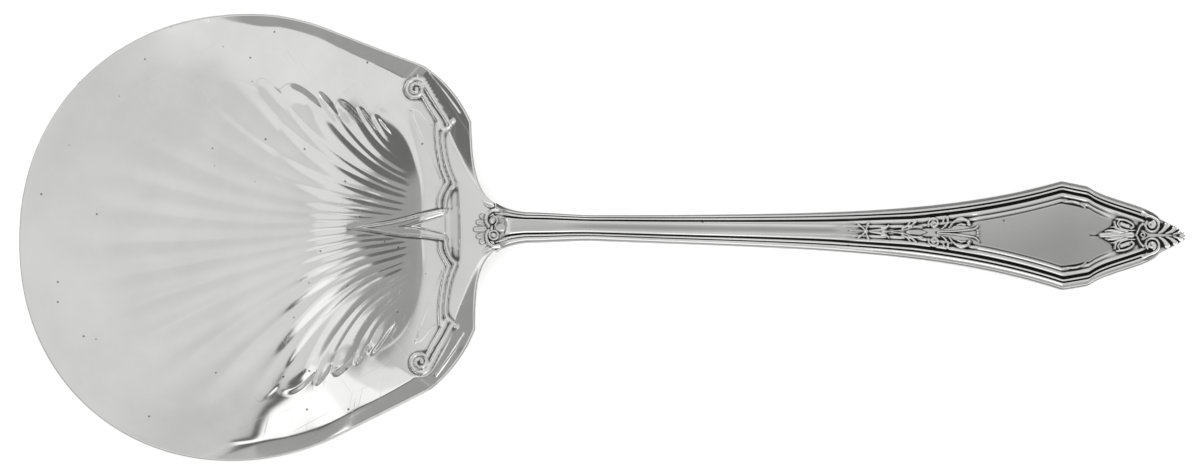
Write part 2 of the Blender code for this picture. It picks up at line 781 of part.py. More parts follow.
def make_solder(frame):
    """The film of solder between the heel plate and the drop."""
    def high(along):
        return heel_plane(HEEL_X + along) - SHEET - (LAP_GAP - FILM_THICKNESS) / 2

    def low(along):
        return high(along) - FILM_THICKNESS

    outline = drop_outline(FILM_MARGIN, BUTT_REACH - FILM_MARGIN, NECK_HALF)
    mesh = prism("solder_film", outline, low, high)
    return new_object("solder_film", mesh, (0.70, 0.69, 0.66), 0.35, frame)


def main():
    for old in list(bpy.data.objects):
        bpy.data.objects.remove(old, do_unlink=True)
    frame = link(bpy.data.objects.new("handle_frame", None))
    frame.location = (HEEL_X, 0.0, 0.0)
    frame.rotation_euler = (0.0, 0.0, -math.radians(HANDLE_SET))
    make_bowl()
    make_handle(frame)
    make_solder(frame)
    bpy.context.view_layer.update()


main()
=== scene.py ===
"""The looks of a silver bonbon spoon: struck shell bowl, moulded handle and the solder between them.

Lengths are in millimetres until a mesh is made. Plan places on the bowl are (x, y) from the middle of
the flat under it. Places on the handle are (along, y): along runs from the heel to the finial, y across.
"""
import math

import bpy
import numpy as np
from mathutils import Matrix, Vector


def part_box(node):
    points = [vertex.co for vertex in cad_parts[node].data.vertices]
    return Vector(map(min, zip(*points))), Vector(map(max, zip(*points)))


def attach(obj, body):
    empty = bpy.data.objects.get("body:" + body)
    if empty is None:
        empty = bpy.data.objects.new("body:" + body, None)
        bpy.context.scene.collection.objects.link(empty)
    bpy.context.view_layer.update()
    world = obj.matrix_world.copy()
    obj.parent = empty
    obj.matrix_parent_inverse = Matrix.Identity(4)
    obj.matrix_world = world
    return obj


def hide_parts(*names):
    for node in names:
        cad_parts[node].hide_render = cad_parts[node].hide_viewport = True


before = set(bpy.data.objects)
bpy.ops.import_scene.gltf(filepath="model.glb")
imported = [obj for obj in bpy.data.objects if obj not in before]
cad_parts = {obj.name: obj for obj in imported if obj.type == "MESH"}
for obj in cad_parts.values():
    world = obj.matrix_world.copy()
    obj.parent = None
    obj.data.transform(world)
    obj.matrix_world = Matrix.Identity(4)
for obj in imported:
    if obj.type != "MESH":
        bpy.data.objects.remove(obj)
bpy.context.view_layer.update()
MM = 0.001

# Main sizes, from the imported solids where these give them
BOWL_LOW, BOWL_HIGH = (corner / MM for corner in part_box("bowl"))
BOWL_RADIUS = BOWL_HIGH.y
TIP_REACH = -BOWL_LOW.x
TIP_SQUARENESS = 2.1
HEEL_X = BOWL_RADIUS + 2.6
BUTT_X = HEEL_X + 0.65
SHEET = 1.0
RIM_THICKNESS = 0.85
RIM_THINS = (0.95, 1.0)
RIM_ROUND = 0.24
REST_RADIUS = 4.8
ROOT_ROUND = 0.45
HEEL_HEIGHT = 9.6
HEEL_SLOPE = math.tan(math.radians(5.0))

# Outline of the bowl's heel
CORNER_ANGLE = 40.8
CORNER_REACH = 2.5
SHOULDER = (HEEL_X - 1.65, 11.2)
SHOULDER_BULGE = 0.56
NECK_END = (HEEL_X + 4.0, 1.55)
NECK_PULLS = ((SHOULDER[0], 5.04), (HEEL_X - 1.1, 2.015))

# Flutes of the shell
FLUTE_FOCUS = HEEL_X + 2.0
FLUTE_RIDGES = np.array((0, 2.1, 4.2, 6.6, 9.8, 13.1, 17.0, 19.3, 23.7, 25.9, 30.2, 32.5, 37.0, 41.0))
FLUTE_START = (5, 9)
FLUTE_STRAIGHT = 16.5
FLUTE_EASE = 4.0
FLUTE_BEND = 0.052
FLUTE_BROAD, FLUTE_SLENDER = 0.8, 1.4
FLUTE_NARROWS = (14, 24)
SCALLOP_DEPTH = 0.9
# Width and inset of the painted shade line along the scallops' ends
SHADE_LINE_WIDTH, SHADE_LINE_INSET = 0.13, 0.15
UNDERSIDE_SHARE = 0.75

# Where the flutes fade, from their ends: at the heel, at the scallops and at the front
FLUTE_FADES = ((-3.5, -0.9), (-1.0, 0.0), (-8.0, 1.2))

# Tongue that runs from the heel plate down into the bowl
TONGUE_TIP = 11.7
TONGUE_FORK = 18.2
TONGUE_END = 22.3
TONGUE_HALF = 1.75
TONGUE_GAP = 0.62
TONGUE_RISE = 0.2
TONGUE_BEAD, TONGUE_BEAD_WIDTH = 0.26, 0.14
TONGUE_GROOVE, TONGUE_GROOVE_WIDTH = 0.16, 0.13
TONGUE_STARTS, TONGUE_STOPS = (-0.6, 0.3), (-0.25, 0.1)
FORK_STARTS = (-1.5, 0.3)
ARM_STARTS, ARM_EDGE = (0, 4), (-0.1, 0.1)
TONGUE_MARGIN = (0.15, 0.95)

# Heel plate: sunk strip, fine grooves and the share of the strapwork's height that wear has left
STRIP = ((22.7, 22.95), (23.6, 23.78))
STRIP_SIDE = (3.6, 4.2)
STRIP_DEPTH = 0.14
GROOVE_WIDTH, GROOVE_DEPTH = 0.16, 0.05
STRAP_LEFT = 0.9

# Handle
HANDLE_SET = math.radians(-1.2)
HANDLE_LENGTH = 75.6
NECK_LENGTH = 4.0
WAIST_PLACE = 11.0
WAIST_HALF = 1.3
CROWN_CORNER = 62.0
SECOND_CORNER = 64.9
CROWN_END = 72.6
CROWN_HALF = 5.92
CROWN_STEP = 0.54
FLARE_SHARE = 0.24
FLARE_POWER = 4.2
FINIAL_HALF, FINIAL_TIP = 1.7, 0.12
FINIAL_TAPER = 0.75
FINIAL_SWELL, FINIAL_LEAVES = 0.13, 3.2
FINIAL_START = (70.6, 71.6)
REST_FROM_TIP = 10.4
HANDLE_BOW = 0.6
EDGE_ROUND = 0.45
CORNER_WEAR = 0.5
BORDER, BORDER_SHARE = 2.55, 0.93
LIP_RISE = 0.67
SOLDER_GAP = 0.3
DROP_THICKNESS = 0.9
LAP_ROUNDNESS = 2.4
LAP_FLAT = BUTT_X - HEEL_X
TERMINAL_SINK, TERMINAL_ROOT = 0.05, 0.3
BUTT_PROUD = 0.02

# Stretches of the handle, and edges of its grounds and panel by distance in from its own edge
HANDLE_STARTS = (0.7, 2.2)
BORDER_CHANGE = (35, 44)
GROUND = ((38, 39.5), (51.8, 53))
PANEL = ((52.2, 52.8), (68.0, 69.0))
CROWN_START = (66.0, 68.0)
GROUND_EDGE, CROWN_EDGE, PANEL_EDGE = (1.25, 1.7), (1.3, 1.9), (2.5, 2.62)

# Sunk grounds of the handle, against the outer bead
GROUND_DEPTH = 0.16
CROWN_GROUND = -0.26
FINIAL_GROUND = -0.42
BEVEL, BEVEL_WIDTH = 0.2, 0.3

# Form of struck leaves and beads: widths as shares of the half width, the rest as powers
LEAF_POINT = 0.12
LEAF_LEAN = 0.75
LEAF_FULLNESS = 0.8
BEAD_ROUNDNESS = 0.65
VEIN_WIDTH = 0.22

# Numbers kept at the vertices for the material: tarnish with painted shade, wear with painted highlights,
# and satin with painted shade
VERTEX_NUMBER_NAMES = ("tarnish_and_painted_shade", "wear_and_painted_highlight", "satin_and_painted_shade")

# Tarnish from 0 to 1, the sunk depth that takes all of it, and the cells that a place is compared with; the
# scallops' line, the handle's side walls and its outer roll get painted shade in the same numbers
BOWL_SUNK = 0.1
HANDLE_SUNK = 0.09
TERMINAL_SUNK = 0.14
TARNISH_CELLS = 3
PLAIN_TARNISH, ORNATE_TARNISH = 0.25, 0.75
ORNATE_START = (17.0, 18.5)
STRIP_TARNISH = 0.36
# Painted shade line along the scallops' ends, given as tarnish
SCALLOP_PAINTED_SHADE = 0.4
RIM_TARNISH = 0.5
# Painted shade on the handle's side walls, given as tarnish
EDGE_PAINTED_SHADE = 0.6
# Painted shade on the handle's outer roll, given as tarnish: from the -Y to the +Y side, over this distance
# in from the edge
ROLL_PAINTED_SHADE = (0.49, 0.71)
ROLL_SHADE_EDGE = (0.3, 0.5)

# Painted shade over the panel's satin: its share grows slantwise towards the finial and the -Y side
PAINTED_SHADE_SHARES = (0.4, 1.05)
PAINTED_SHADE_FROM, PAINTED_SHADE_RUN, PAINTED_SHADE_SPREAD = 41.8, 34, 9

# Painted reflection on the stem: a dark, rougher streak along its crest between two painted highlight lines
PAINTED_DARK_STREAK = ((6, 12), (36, 39))
PAINTED_DARK_STREAK_WIDTH = 0.26
# Painted highlight lines beside the stem's crest, carried as wear: where along, how bright from -Y to +Y,
# where across and how wide
PAINTED_HIGHLIGHT = ((3, 9), (36, 39))
PAINTED_HIGHLIGHT_LIGHT = (0.3, 0.4)
PAINTED_HIGHLIGHT_PLACE, PAINTED_HIGHLIGHT_WIDTH = 0.48, 0.16

# Bud engraved in the panel before the crown's leaves
BUD = np.array(((65.1, 0.0), (65.8, 0.0)))
BUD_WIDTH, BUD_DEPTH = 0.16, 0.1


def ease(low, high, value):
    """Smooth step from 0 at low to 1 at high."""
    share = np.clip((value - low) / (high - low), 0.0, 1.0)
    return share * share * (3 - 2 * share)


def within(stretch, value):
    """1 inside a stretch that fades in over its first pair of values and out over its second."""
    return ease(*stretch[0], value) * (1 - ease(*stretch[1], value))


def mix(start, end, share):
    """The value at a share of the way between two others."""
    return start + (end - start) * share


def smooth_table(*pairs):
    """A smooth function through (place, value) pairs that never overshoots them."""
    places, values = (np.array(column, float) for column in zip(*pairs))
    steps = np.diff(places)
    rises = np.diff(values) / steps
    slopes = np.concatenate(([rises[0]], np.zeros(len(rises) - 1), [rises[-1]]))
    for index in range(1, len(rises)):
        before, after = rises[index - 1], rises[index]
        if before * after > 0:
            slopes[index] = 2 * before * after / (before + after)

    def value_at(place):
        place = np.clip(place, places[0], places[-1])
        index = np.clip(np.searchsorted(places, place) - 1, 0, len(steps) - 1)
        step = steps[index]
        share = (place - places[index]) / step
        rest = 1 - share
        start = (values[index] * (1 + 2 * share) + slopes[index] * step * share) * rest ** 2
        end = (values[index + 1] * (3 - 2 * share) - slopes[index + 1] * step * rest) * share ** 2
        return start + end

    return value_at


def round_table(*pairs):
    """A function of the angle round the bowl by (degrees, value) pairs, with its kinks softened."""
    step, reach, softness = 0.1, 20, 7
    grid = np.arange(-60, 240 + step / 2, step)
    values = smooth_table(*pairs)(np.where(grid < 0, -grid, np.where(grid > 180, 360 - grid, grid)))
    kernel = np.exp(-(np.arange(-reach, reach + step / 2, step) / softness) ** 2)
    soft = np.convolve(values, kernel / kernel.sum(), mode="same")
    return lambda degrees: np.interp(degrees, grid, soft)


def bezier(start, first, second, end, count):
    """Points along a plan curve, both ends included."""
    knots = [np.array(knot, float) for knot in (start, first, second, end)]
    share = np.linspace(0, 1, count)[:, None]
    rest = 1 - share
    return (knots[0] * rest ** 3 + 3 * knots[1] * rest ** 2 * share
            + 3 * knots[2] * rest * share ** 2 + knots[3] * share ** 3)


def polar(radius, degrees):
    """Plan point at an angle."""
    return np.array((radius * math.cos(math.radians(degrees)), radius * math.sin(math.radians(degrees))))


def bearing(x, y):
    """Angle of places round from the handle, alike on both sides, in degrees."""
    return np.abs(np.degrees(np.arctan2(y, x)))


def curve(points, count=10):
    """A smooth line through plan points."""
    knots = np.array(points, float)
    if len(knots) < 3:
        return knots
    ends = (2 * knots[0] - knots[1], 2 * knots[-1] - knots[-2])
    padded = np.vstack((ends[0], knots, ends[1]))
    share = np.linspace(0, 1, count, endpoint=False)[:, None]
    line = []
    for a, b, c, d in zip(padded, padded[1:], padded[2:], padded[3:]):
        line.append(0.5 * (2 * b + (c - a) * share + (2 * a - 5 * b + 4 * c - d) * share ** 2
                           + (3 * b - a - 3 * c + d) * share ** 3))
    return np.vstack(line + [knots[-1:]])


def spiral(centre, outer, inner, start, turns, count=40):
    """A line that winds in from an outer to an inner radius; start in degrees, turns signed."""
    share = np.linspace(0, 1, count)
    angle = np.radians(start + 360 * turns * share)
    radius = mix(outer, inner, share)
    return np.stack((centre[0] + radius * np.cos(angle), centre[1] + radius * np.sin(angle)), axis=1)


def nearest(line, x, y):
    """Distance of places from a line, and the share of the line's length where they are nearest."""
    best = np.full(x.shape, np.inf)
    where = np.zeros(x.shape)
    runs = np.diff(line, axis=0)
    lengths = np.hypot(runs[:, 0], runs[:, 1])
    starts = np.concatenate(([0.0], np.cumsum(lengths)))
    for start, run, length, before in zip(line, runs, lengths, starts):
        if length == 0:
            continue
        dx, dy = x - start[0], y - start[1]
        share = np.clip((dx * run[0] + dy * run[1]) / length ** 2, 0, 1)
        away = np.hypot(dx - run[0] * share, dy - run[1] * share)
        closer = away < best
        best[closer] = away[closer]
        where[closer] = (before + length * share[closer]) / starts[-1]
    return best, where


def beside(line, reach, x, y):
    """Which places lie in the box round a line."""
    low, high = line.min(axis=0) - reach, line.max(axis=0) + reach
    return (x > low[0]) & (x < high[0]) & (y > low[1]) & (y < high[1])


def press(relief, x, y, line, width, height, leaf=False, vein=0.0):
    """Raises a bead or leaf in a relief, along a line or a curve through points.

    The half width and the height may be (start, end) pairs.
    """
    if isinstance(line, tuple):
        line = curve(line)
    widths, heights = np.broadcast_to(width, 2), np.broadcast_to(height, 2)
    near = beside(line, max(widths), x, y)
    if not near.any():
        return
    away, share = nearest(line, x[near], y[near])
    half = mix(*widths, share)
    if leaf:
        half = half * mix(LEAF_POINT, 1, np.sin(math.pi * share ** LEAF_LEAN) ** LEAF_FULLNESS)
    out = away / half
    bead = mix(*heights, share) * np.clip(1 - out ** 2, 0, None) ** BEAD_ROUNDNESS
    if vein:
        bead = bead * (1 - vein * np.exp(-(out / VEIN_WIDTH) ** 2))
    relief[near] = np.maximum(relief[near], bead)


def engrave(relief, x, y, line, width, depth):
    """Cuts a round groove along a line in a relief."""
    near = beside(line, width, x, y)
    away = nearest(line, x[near], y[near])[0]
    relief[near] -= depth * np.clip(1 - (away / width) ** 2, 0, None)


def spread(values, axis):
    """Mean over a run of neighbours along one axis of a grid."""
    size = 2 * TARNISH_CELLS + 1
    pad = [(0, 0)] * values.ndim
    pad[axis] = (TARNISH_CELLS + 1, TARNISH_CELLS)
    sums = np.cumsum(np.pad(values, pad, mode="edge"), axis=axis)
    count = values.shape[axis]
    return (np.take(sums, range(size, size + count), axis) - np.take(sums, range(count), axis)) / size


def sunk_and_proud(heights, depth):
    """How far each place of a grid lies below and above its surroundings, each from 0 to 1."""
    around = heights
    for axis in (0, 1, 0, 1):
        around = spread(around, axis)
    sunk = (around - heights) / depth
    return np.clip(sunk, 0, 1), np.clip(-sunk, 0, 1)


def bowl_outline():
    """Half of the bowl's outline on the +Y side, from the middle of the butt round to the tip."""
    neck = bezier(SHOULDER, *NECK_PULLS, NECK_END, 200)
    neck = neck[neck[:, 0] < BUTT_X][::-1]
    butt = np.array(((BUTT_X, 0.0), (BUTT_X, neck[0, 1])))
    corner = polar(BOWL_RADIUS + CORNER_REACH, CORNER_ANGLE)
    chord = corner - np.array(SHOULDER)
    side = np.array((chord[1], -chord[0])) / np.hypot(*chord)
    share = np.linspace(0, 1, 40)[1:, None]
    shoulder = np.array(SHOULDER) + chord * share + side * SHOULDER_BULGE * 4 * share * (1 - share)
    touch = CORNER_ANGLE + math.degrees(math.acos(BOWL_RADIUS / (BOWL_RADIUS + CORNER_REACH)))
    straight = mix(corner, polar(BOWL_RADIUS, touch), np.linspace(0, 1, 20)[1:, None])
    angle = np.radians(np.linspace(touch, 180, 400)[1:])
    run = np.cos(angle)
    power = np.where(run < 0, 2 / TIP_SQUARENESS, 1.0)
    x = np.where(run < 0, TIP_REACH, BOWL_RADIUS) * np.sign(run) * np.abs(run) ** power
    y = BOWL_RADIUS * np.clip(np.sin(angle), 0, None) ** power
    return np.vstack((butt, neck, shoulder, straight, np.stack((x, y), axis=1)))


OUTLINE = bowl_outline()
EDGE_ANGLES, EDGE_RADII = bearing(*OUTLINE.T), np.hypot(*OUTLINE.T)
BUTT_ANGLE, SHOULDER_ANGLE = bearing(*OUTLINE[1]), bearing(*SHOULDER)

# Shape of the dish by angle round from the handle: foot of the wall, wall and flange
ROOT_RADIUS = round_table(
    (0, 19.3), (14, 20.2), (25, 20.6), (36, 20.2), (48, 18.9), (63, 18.1), (77, 17.9), (90, 17.9),
    (120, 18.3), (150, 18.7), (180, 18.9),
)
ROOT_HEIGHT = round_table(
    (0, 8.9), (20, 8.85), (34, 8.0), (41, 7.3), (50, 5.9), (63, 4.4), (77, 3.5), (90, 3.15), (120, 2.8),
    (150, 2.6), (180, 2.45),
)
WALL_SLOPE = smooth_table(
    (41, 0.34), (50, 0.44), (60, 0.54), (70, 0.56), (79, 0.54), (88, 0.42), (96, 0.38), (110, 0.37),
    (122, 0.33), (135, 0.31), (180, 0.29),
)
FLANGE_WIDTH = smooth_table(
    (41, 2.35), (48, 1.95), (54, 1.75), (60, 1.6), (70, 1.58), (80, 1.65), (88, 1.7), (96, 1.6),
    (110, 1.3), (180, 0.9),
)
FLANGE_SLOPE = smooth_table(
    (4.2, 0.3), (7, 0.42), (10, 0.48), (14, 0.54), (20, 0.6), (28, 0.66), (36, 0.8), (50, 0.8),
    (54, 0.74), (58, 0.64), (63, 0.61), (68, 0.66), (74, 0.71), (83, 0.72), (90, 0.65), (98, 0.5),
    (108, 0.34), (122, 0.22), (140, 0.15), (180, 0.1),
)
HEEL_CREASE = curve(((27.7, 2.2), (26.1, 3.6), (25.0, 5.2), (24.0, 7.4), (23.0, 9.8), (22.35, 12.1),
                     (21.3, 14.2), (20.2, 15.8), (19.3, 16.2), (18.0, 16.15)))
CREASE_ANGLES, CREASE_RADII = bearing(*HEEL_CREASE.T), np.hypot(*HEEL_CREASE.T)

# Rounding of the flange's crease, and how the inside rises to the foot of the wall
CREASE_SHARP, CREASE_SOFT = 0.12, 0.7
DISH_POWER = 1.6
BLEND_NEAR, BLEND_FAR, BLEND_END = -3.0, -14.0, -1.0

# Angles round from the handle over which one form passes into the next
HEEL_TO_FLANK = (40.5, 42.5)
HEEL_TO_WALL = (16, 44)
EDGE_TO_HOLLOW = (50, 70)
BLEND_WIDENS = (72, 95)
CREASE_SOFTENS = (78, 100)
FLUTES_SHARPEN = (24, 40)
SCALLOPS_FADE = (60, 78)
# Angles over which the painted shade line along the scallops' ends fades in and out
SCALLOP_SHADE_ANGLES = ((36, 44), (80, 112))

# The struck ornament and the flange aren't quite centred: how far they stand to +Y, by x and by angle
ASIDE = smooth_table((-22, 0.0), (0, 0.45), (10, 0.9), (12, 0.9), (18, 0.42), (28, 0.38))
FLANGE_ASIDE = smooth_table((42, 0.0), (60, 0.2), (80, 0.42), (95, 0.4), (130, 0.0))

# Depth of the flutes by distance from their focus, and of their ends by angle round from the handle
FLUTE_STRENGTH = smooth_table(
    (8, 0.05), (11, 0.1), (14, 0.11), (17, 0.074), (22, 0.047), (28, 0.046), (36, 0.062), (44, 0.05),
    (50, 0.0),
)
END_DIP = round_table((30, 0.0), (44, 0.4), (58, 0.45), (70, 0.25), (84, 0.0), (180, 0.0))


def edge_radius(degrees):
    """Distance of the bowl's edge from the origin."""
    straight = BUTT_X / np.cos(np.radians(np.minimum(degrees, BUTT_ANGLE)))
    return np.where(degrees < BUTT_ANGLE, straight, np.interp(degrees, EDGE_ANGLES, EDGE_RADII))


def crease_radius(degrees, degrees_aside, side):
    """Distance from the origin of the line where the flange begins; side is 1 at +Y and -1 at -Y."""
    heel = np.interp(degrees_aside, CREASE_ANGLES, CREASE_RADII)
    flank = edge_radius(degrees) - FLANGE_WIDTH(degrees) + side * FLANGE_ASIDE(degrees)
    return mix(heel, flank, ease(*HEEL_TO_FLANK, degrees_aside))


def heel_plane(x):
    """Top of the flat heel plate."""
    return HEEL_HEIGHT + (x - HEEL_X) * HEEL_SLOPE


def plain_bowl(x, y):
    """Top of the bowl without flutes and strapwork: dish, wall and turned-up flange."""
    degrees = bearing(x, y)
    aside = bearing(x, y - ASIDE(x))
    radius = np.hypot(x, y)
    root, low = ROOT_RADIUS(degrees), ROOT_HEIGHT(degrees)
    past = radius - crease_radius(degrees, aside, np.sign(y))
    past = (past + np.hypot(past, mix(CREASE_SHARP, CREASE_SOFT, ease(*CREASE_SOFTENS, degrees)))) / 2
    inner = mix(SHEET, low, (np.clip(radius - REST_RADIUS, 0, None) / (root - REST_RADIUS)) ** DISH_POWER)
    outer = low + WALL_SLOPE(degrees) * (radius - past - root)
    outer = mix(heel_plane(x), outer, ease(*HEEL_TO_WALL, degrees))
    bend = np.hypot(inner - outer, ROOT_ROUND)
    joined = (inner + outer + mix(-bend, bend, ease(*EDGE_TO_HOLLOW, degrees))) / 2
    blend_start = mix(BLEND_NEAR, BLEND_FAR, ease(*BLEND_WIDENS, degrees))
    dish = mix(inner, joined, ease(blend_start, BLEND_END, radius - root))
    return dish + FLANGE_SLOPE(degrees) * past


def flutes(x, y):
    """Depth of the flutes, which end in round scallops, and a painted shade line along the scallops' ends.
    """
    run, rise = FLUTE_FOCUS - x, np.abs(y - ASIDE(x))
    reach = np.hypot(run, rise)
    past = reach - FLUTE_STRAIGHT
    bend = 1 + FLUTE_BEND * (past + np.hypot(past, FLUTE_EASE)) / 2
    turn = np.minimum(np.degrees(np.arctan2(rise, run)) / bend, FLUTE_RIDGES[-1] - 0.01)
    number = np.searchsorted(FLUTE_RIDGES, turn, side="right") - 1
    gap = np.diff(FLUTE_RIDGES)[number]
    pitch = gap * bend
    channel = np.sin(math.pi * (turn - FLUTE_RIDGES[number]) / gap)
    radius = np.hypot(x, y)
    degrees = bearing(x, y)
    soft = ease(*SCALLOPS_FADE, degrees)
    sharp = ease(*FLUTES_SHARPEN, degrees)
    root = ROOT_RADIUS(degrees)
    scallop = SCALLOP_DEPTH * (1 - channel)
    past_end = radius - root + scallop
    # painted shade line just inside the scallops' ends
    painted_shade_line = within(SCALLOP_SHADE_ANGLES, degrees) * np.exp(-((past_end + SHADE_LINE_INSET) / SHADE_LINE_WIDTH) ** 2)
    dip = END_DIP(degrees) * np.clip((radius - REST_RADIUS) / (root - REST_RADIUS), 0, 1) ** 3
    dip = dip * (1 - ease(-SCALLOP_DEPTH, 0.0, past_end))
    past_end = past_end - scallop * soft
    first, last = (mix(heel, mix(flank, front, soft), sharp) for heel, flank, front in zip(*FLUTE_FADES))
    fade = 1 - ease(first, last, past_end)
    fade = fade * FLUTE_STRENGTH(reach) * ease(*FLUTE_START, reach)
    form = channel ** mix(FLUTE_BROAD, FLUTE_SLENDER, ease(*FLUTE_NARROWS, reach))
    return dip + reach * np.radians(pitch) * form * fade, painted_shade_line


def tongue_relief(x, y):
    """Relief of the pointed tongue's two arms, and how far it takes the place of the flutes."""
    across = np.abs(y - ASIDE(x))
    half = TONGUE_HALF * (x - TONGUE_TIP) / (TONGUE_END - TONGUE_TIP)
    inner = np.clip((x - TONGUE_FORK) / (TONGUE_END - TONGUE_FORK), 0, 1) * TONGUE_GAP * TONGUE_HALF
    there = ease(*TONGUE_STARTS, x - TONGUE_TIP) * (1 - ease(*TONGUE_STOPS, x - TONGUE_END))
    bead = TONGUE_BEAD * np.exp(-((across - half + TONGUE_BEAD_WIDTH) / TONGUE_BEAD_WIDTH) ** 2)
    groove = TONGUE_GROOVE * np.exp(-((across - inner) / TONGUE_GROOVE_WIDTH) ** 2)
    groove = groove * ease(*FORK_STARTS, x - TONGUE_FORK)
    arm = TONGUE_RISE * (1 - ease(*ARM_EDGE, across - half)) * ease(*ARM_STARTS, x - TONGUE_TIP)
    return there * (bead + arm - groove), there * (1 - ease(*TONGUE_MARGIN, across - half))


def strapwork():
    """Beads of the heel's strapwork on the +Y side: points or line, half width and height."""
    volute = spiral((19.25, 14.75), 1.12, 0.18, 75, 1.85)
    return [
        (volute, (0.27, 0.2), (0.34, 0.5)),
        (((19.5, 15.85), (20.1, 15.45), (21.1, 13.75), (22.2, 11.9), (22.75, 10.85)), (0.36, 0.24), 0.32),
        (((20.0, 14.2), (20.9, 12.6), (21.85, 11.05), (22.0, 10.5)), (0.26, 0.34), 0.3),
        (((21.55, 10.9), (21.5, 9.8), (21.6, 8.2), (21.95, 6.2), (22.5, 4.6)), 0.26, 0.26),
        (((22.55, 10.4), (22.1, 9.7), (22.15, 8.2), (22.55, 6.2), (23.25, 4.3)), 0.26, 0.28),
        (((22.2, 10.0), (22.7, 10.5), (23.2, 11.1)), 0.22, 0.3),
        (((23.3, 4.3), (22.6, 3.35), (22.3, 2.4), (22.25, 1.5)), 0.24, 0.28),
        (((22.55, 4.55), (21.85, 3.3), (21.6, 2.5), (21.6, 2.0)), 0.24, 0.26),
        (((23.75, 4.4), (23.9, 2.2), (23.95, 0)), 0.16, 0.12),
    ]


def heel_lines():
    """Fine grooves beside the strapwork on the +Y side."""
    return [
        curve(((18.7, 12.5), (19.1, 11.2), (20.2, 8.7), (21.0, 6.8), (21.7, 5.0))),
        curve(((18.7, 12.5), (19.4, 12.3), (20.2, 11.4), (20.9, 10.8))),
        curve(((20.9, 16.4), (22.6, 14.2), (24.2, 11.9))),
    ]


def heel_strip(x, across):
    """The sunk strip of the heel plate beside the tongue: 1 inside it, 0 outside."""
    return within(STRIP, x) * (1 - ease(*STRIP_SIDE, across))


def bowl_relief(x, y):
    """Strapwork, grooves and strip of the heel plate, struck alike on both sides of the ornament's axis."""
    across = np.abs(y - ASIDE(x))
    relief = np.zeros(x.shape)
    for line, width, height in strapwork():
        press(relief, x, across, line, width, height)
    relief *= STRAP_LEFT
    for line in heel_lines():
        engrave(relief, x, across, line, GROOVE_WIDTH, GROOVE_DEPTH)
    return relief - STRIP_DEPTH * heel_strip(x, across)


def bowl_heights(x, y):
    """Top and underside of the struck sheet."""
    plain = plain_bowl(x, y)
    sink = flutes(x, y)[0]
    arms, covers = tongue_relief(x, y)
    sink = sink * (1 - covers)
    top = plain - sink + arms + bowl_relief(x, y)
    thick = mix(SHEET, RIM_THICKNESS, ease(*RIM_THINS, np.hypot(x, y) / BOWL_RADIUS))
    return top, np.maximum(plain - UNDERSIDE_SHARE * sink - thick, 0)


def half_angles():
    """Angles from the handle round to the tip, close where the ornament is."""
    runs = [np.arange(0, 16, 0.18), np.arange(16, 45, 0.28), np.arange(45, 75, 0.5), np.arange(75, 110, 0.8),
            np.linspace(110, 180, 60)]
    own = [BUTT_ANGLE, SHOULDER_ANGLE, CORNER_ANGLE]
    angles = np.concatenate(runs)
    keep = np.min(np.abs(angles[:, None] - np.array(own)[None, :]), axis=1) > 0.08
    return np.sort(np.concatenate((angles[keep], own)))


def grid_faces(rows, columns, closed):
    """Faces between the rows of a grid of vertices, whose columns may close on themselves."""
    across = columns if closed else columns - 1
    row, column = np.meshgrid(np.arange(rows - 1), np.arange(across), indexing="ij")
    a = row * columns + column
    b = row * columns + (column + 1) % columns
    return np.stack((a, b, b + columns, a + columns), axis=-1).reshape(-1, 4)


def slab(top, bottom, keep=None):
    """Closed shells between two grids of places, over all their cells or those to keep."""
    rows, columns = top.shape[:2]
    cells = grid_faces(rows, columns, False)[:, ::-1]
    if keep is not None:
        cells = cells[keep.ravel()]
    used, cells = np.unique(cells, return_inverse=True)
    cells = cells.reshape(-1, 4)
    count = len(used)
    sides = np.concatenate([cells[:, [corner, (corner + 1) % 4]] for corner in range(4)])
    outer = ~np.isin(sides[:, 0] * count + sides[:, 1], sides[:, 1] * count + sides[:, 0])
    walls = [(b, a, a + count, b + count) for a, b in sides[outer]]
    vertices = np.concatenate((top.reshape(-1, 3)[used], bottom.reshape(-1, 3)[used]))
    return vertices, cells.tolist() + (cells[:, ::-1] + count).tolist() + walls, used


def make_mesh(name, vertices, faces, attributes):
    """A smooth mesh from places in millimetres, with numbers at its vertices for the material."""
    mesh = bpy.data.meshes.new(name)
    mesh.from_pydata((np.asarray(vertices) * MM).tolist(), [], [list(map(int, face)) for face in faces])
    mesh.update()
    mesh.shade_smooth()
    for label, values in attributes.items():
        layer = mesh.attributes.new(label, "FLOAT", "POINT")
        layer.data.foreach_set("value", np.asarray(values, np.float32))
    return mesh


def bowl_tarnish_and_painted_shade(x, y, top):
    """Tarnish on the bowl's face in sunk places and in the strip, and a painted shade line round the
    scallops.
    """
    ornate = np.maximum(ease(*ORNATE_START, x), tongue_relief(x, y)[1])
    sunk = sunk_and_proud(top - plain_bowl(x, y), BOWL_SUNK)[0]
    dark = mix(PLAIN_TARNISH, ORNATE_TARNISH, ornate) * sunk
    dark = np.maximum(dark, STRIP_TARNISH * heel_strip(x, np.abs(y - ASIDE(x))))
    # painted shade line along the scallops' ends
    return np.maximum(dark, SCALLOP_PAINTED_SHADE * flutes(x, y)[1])


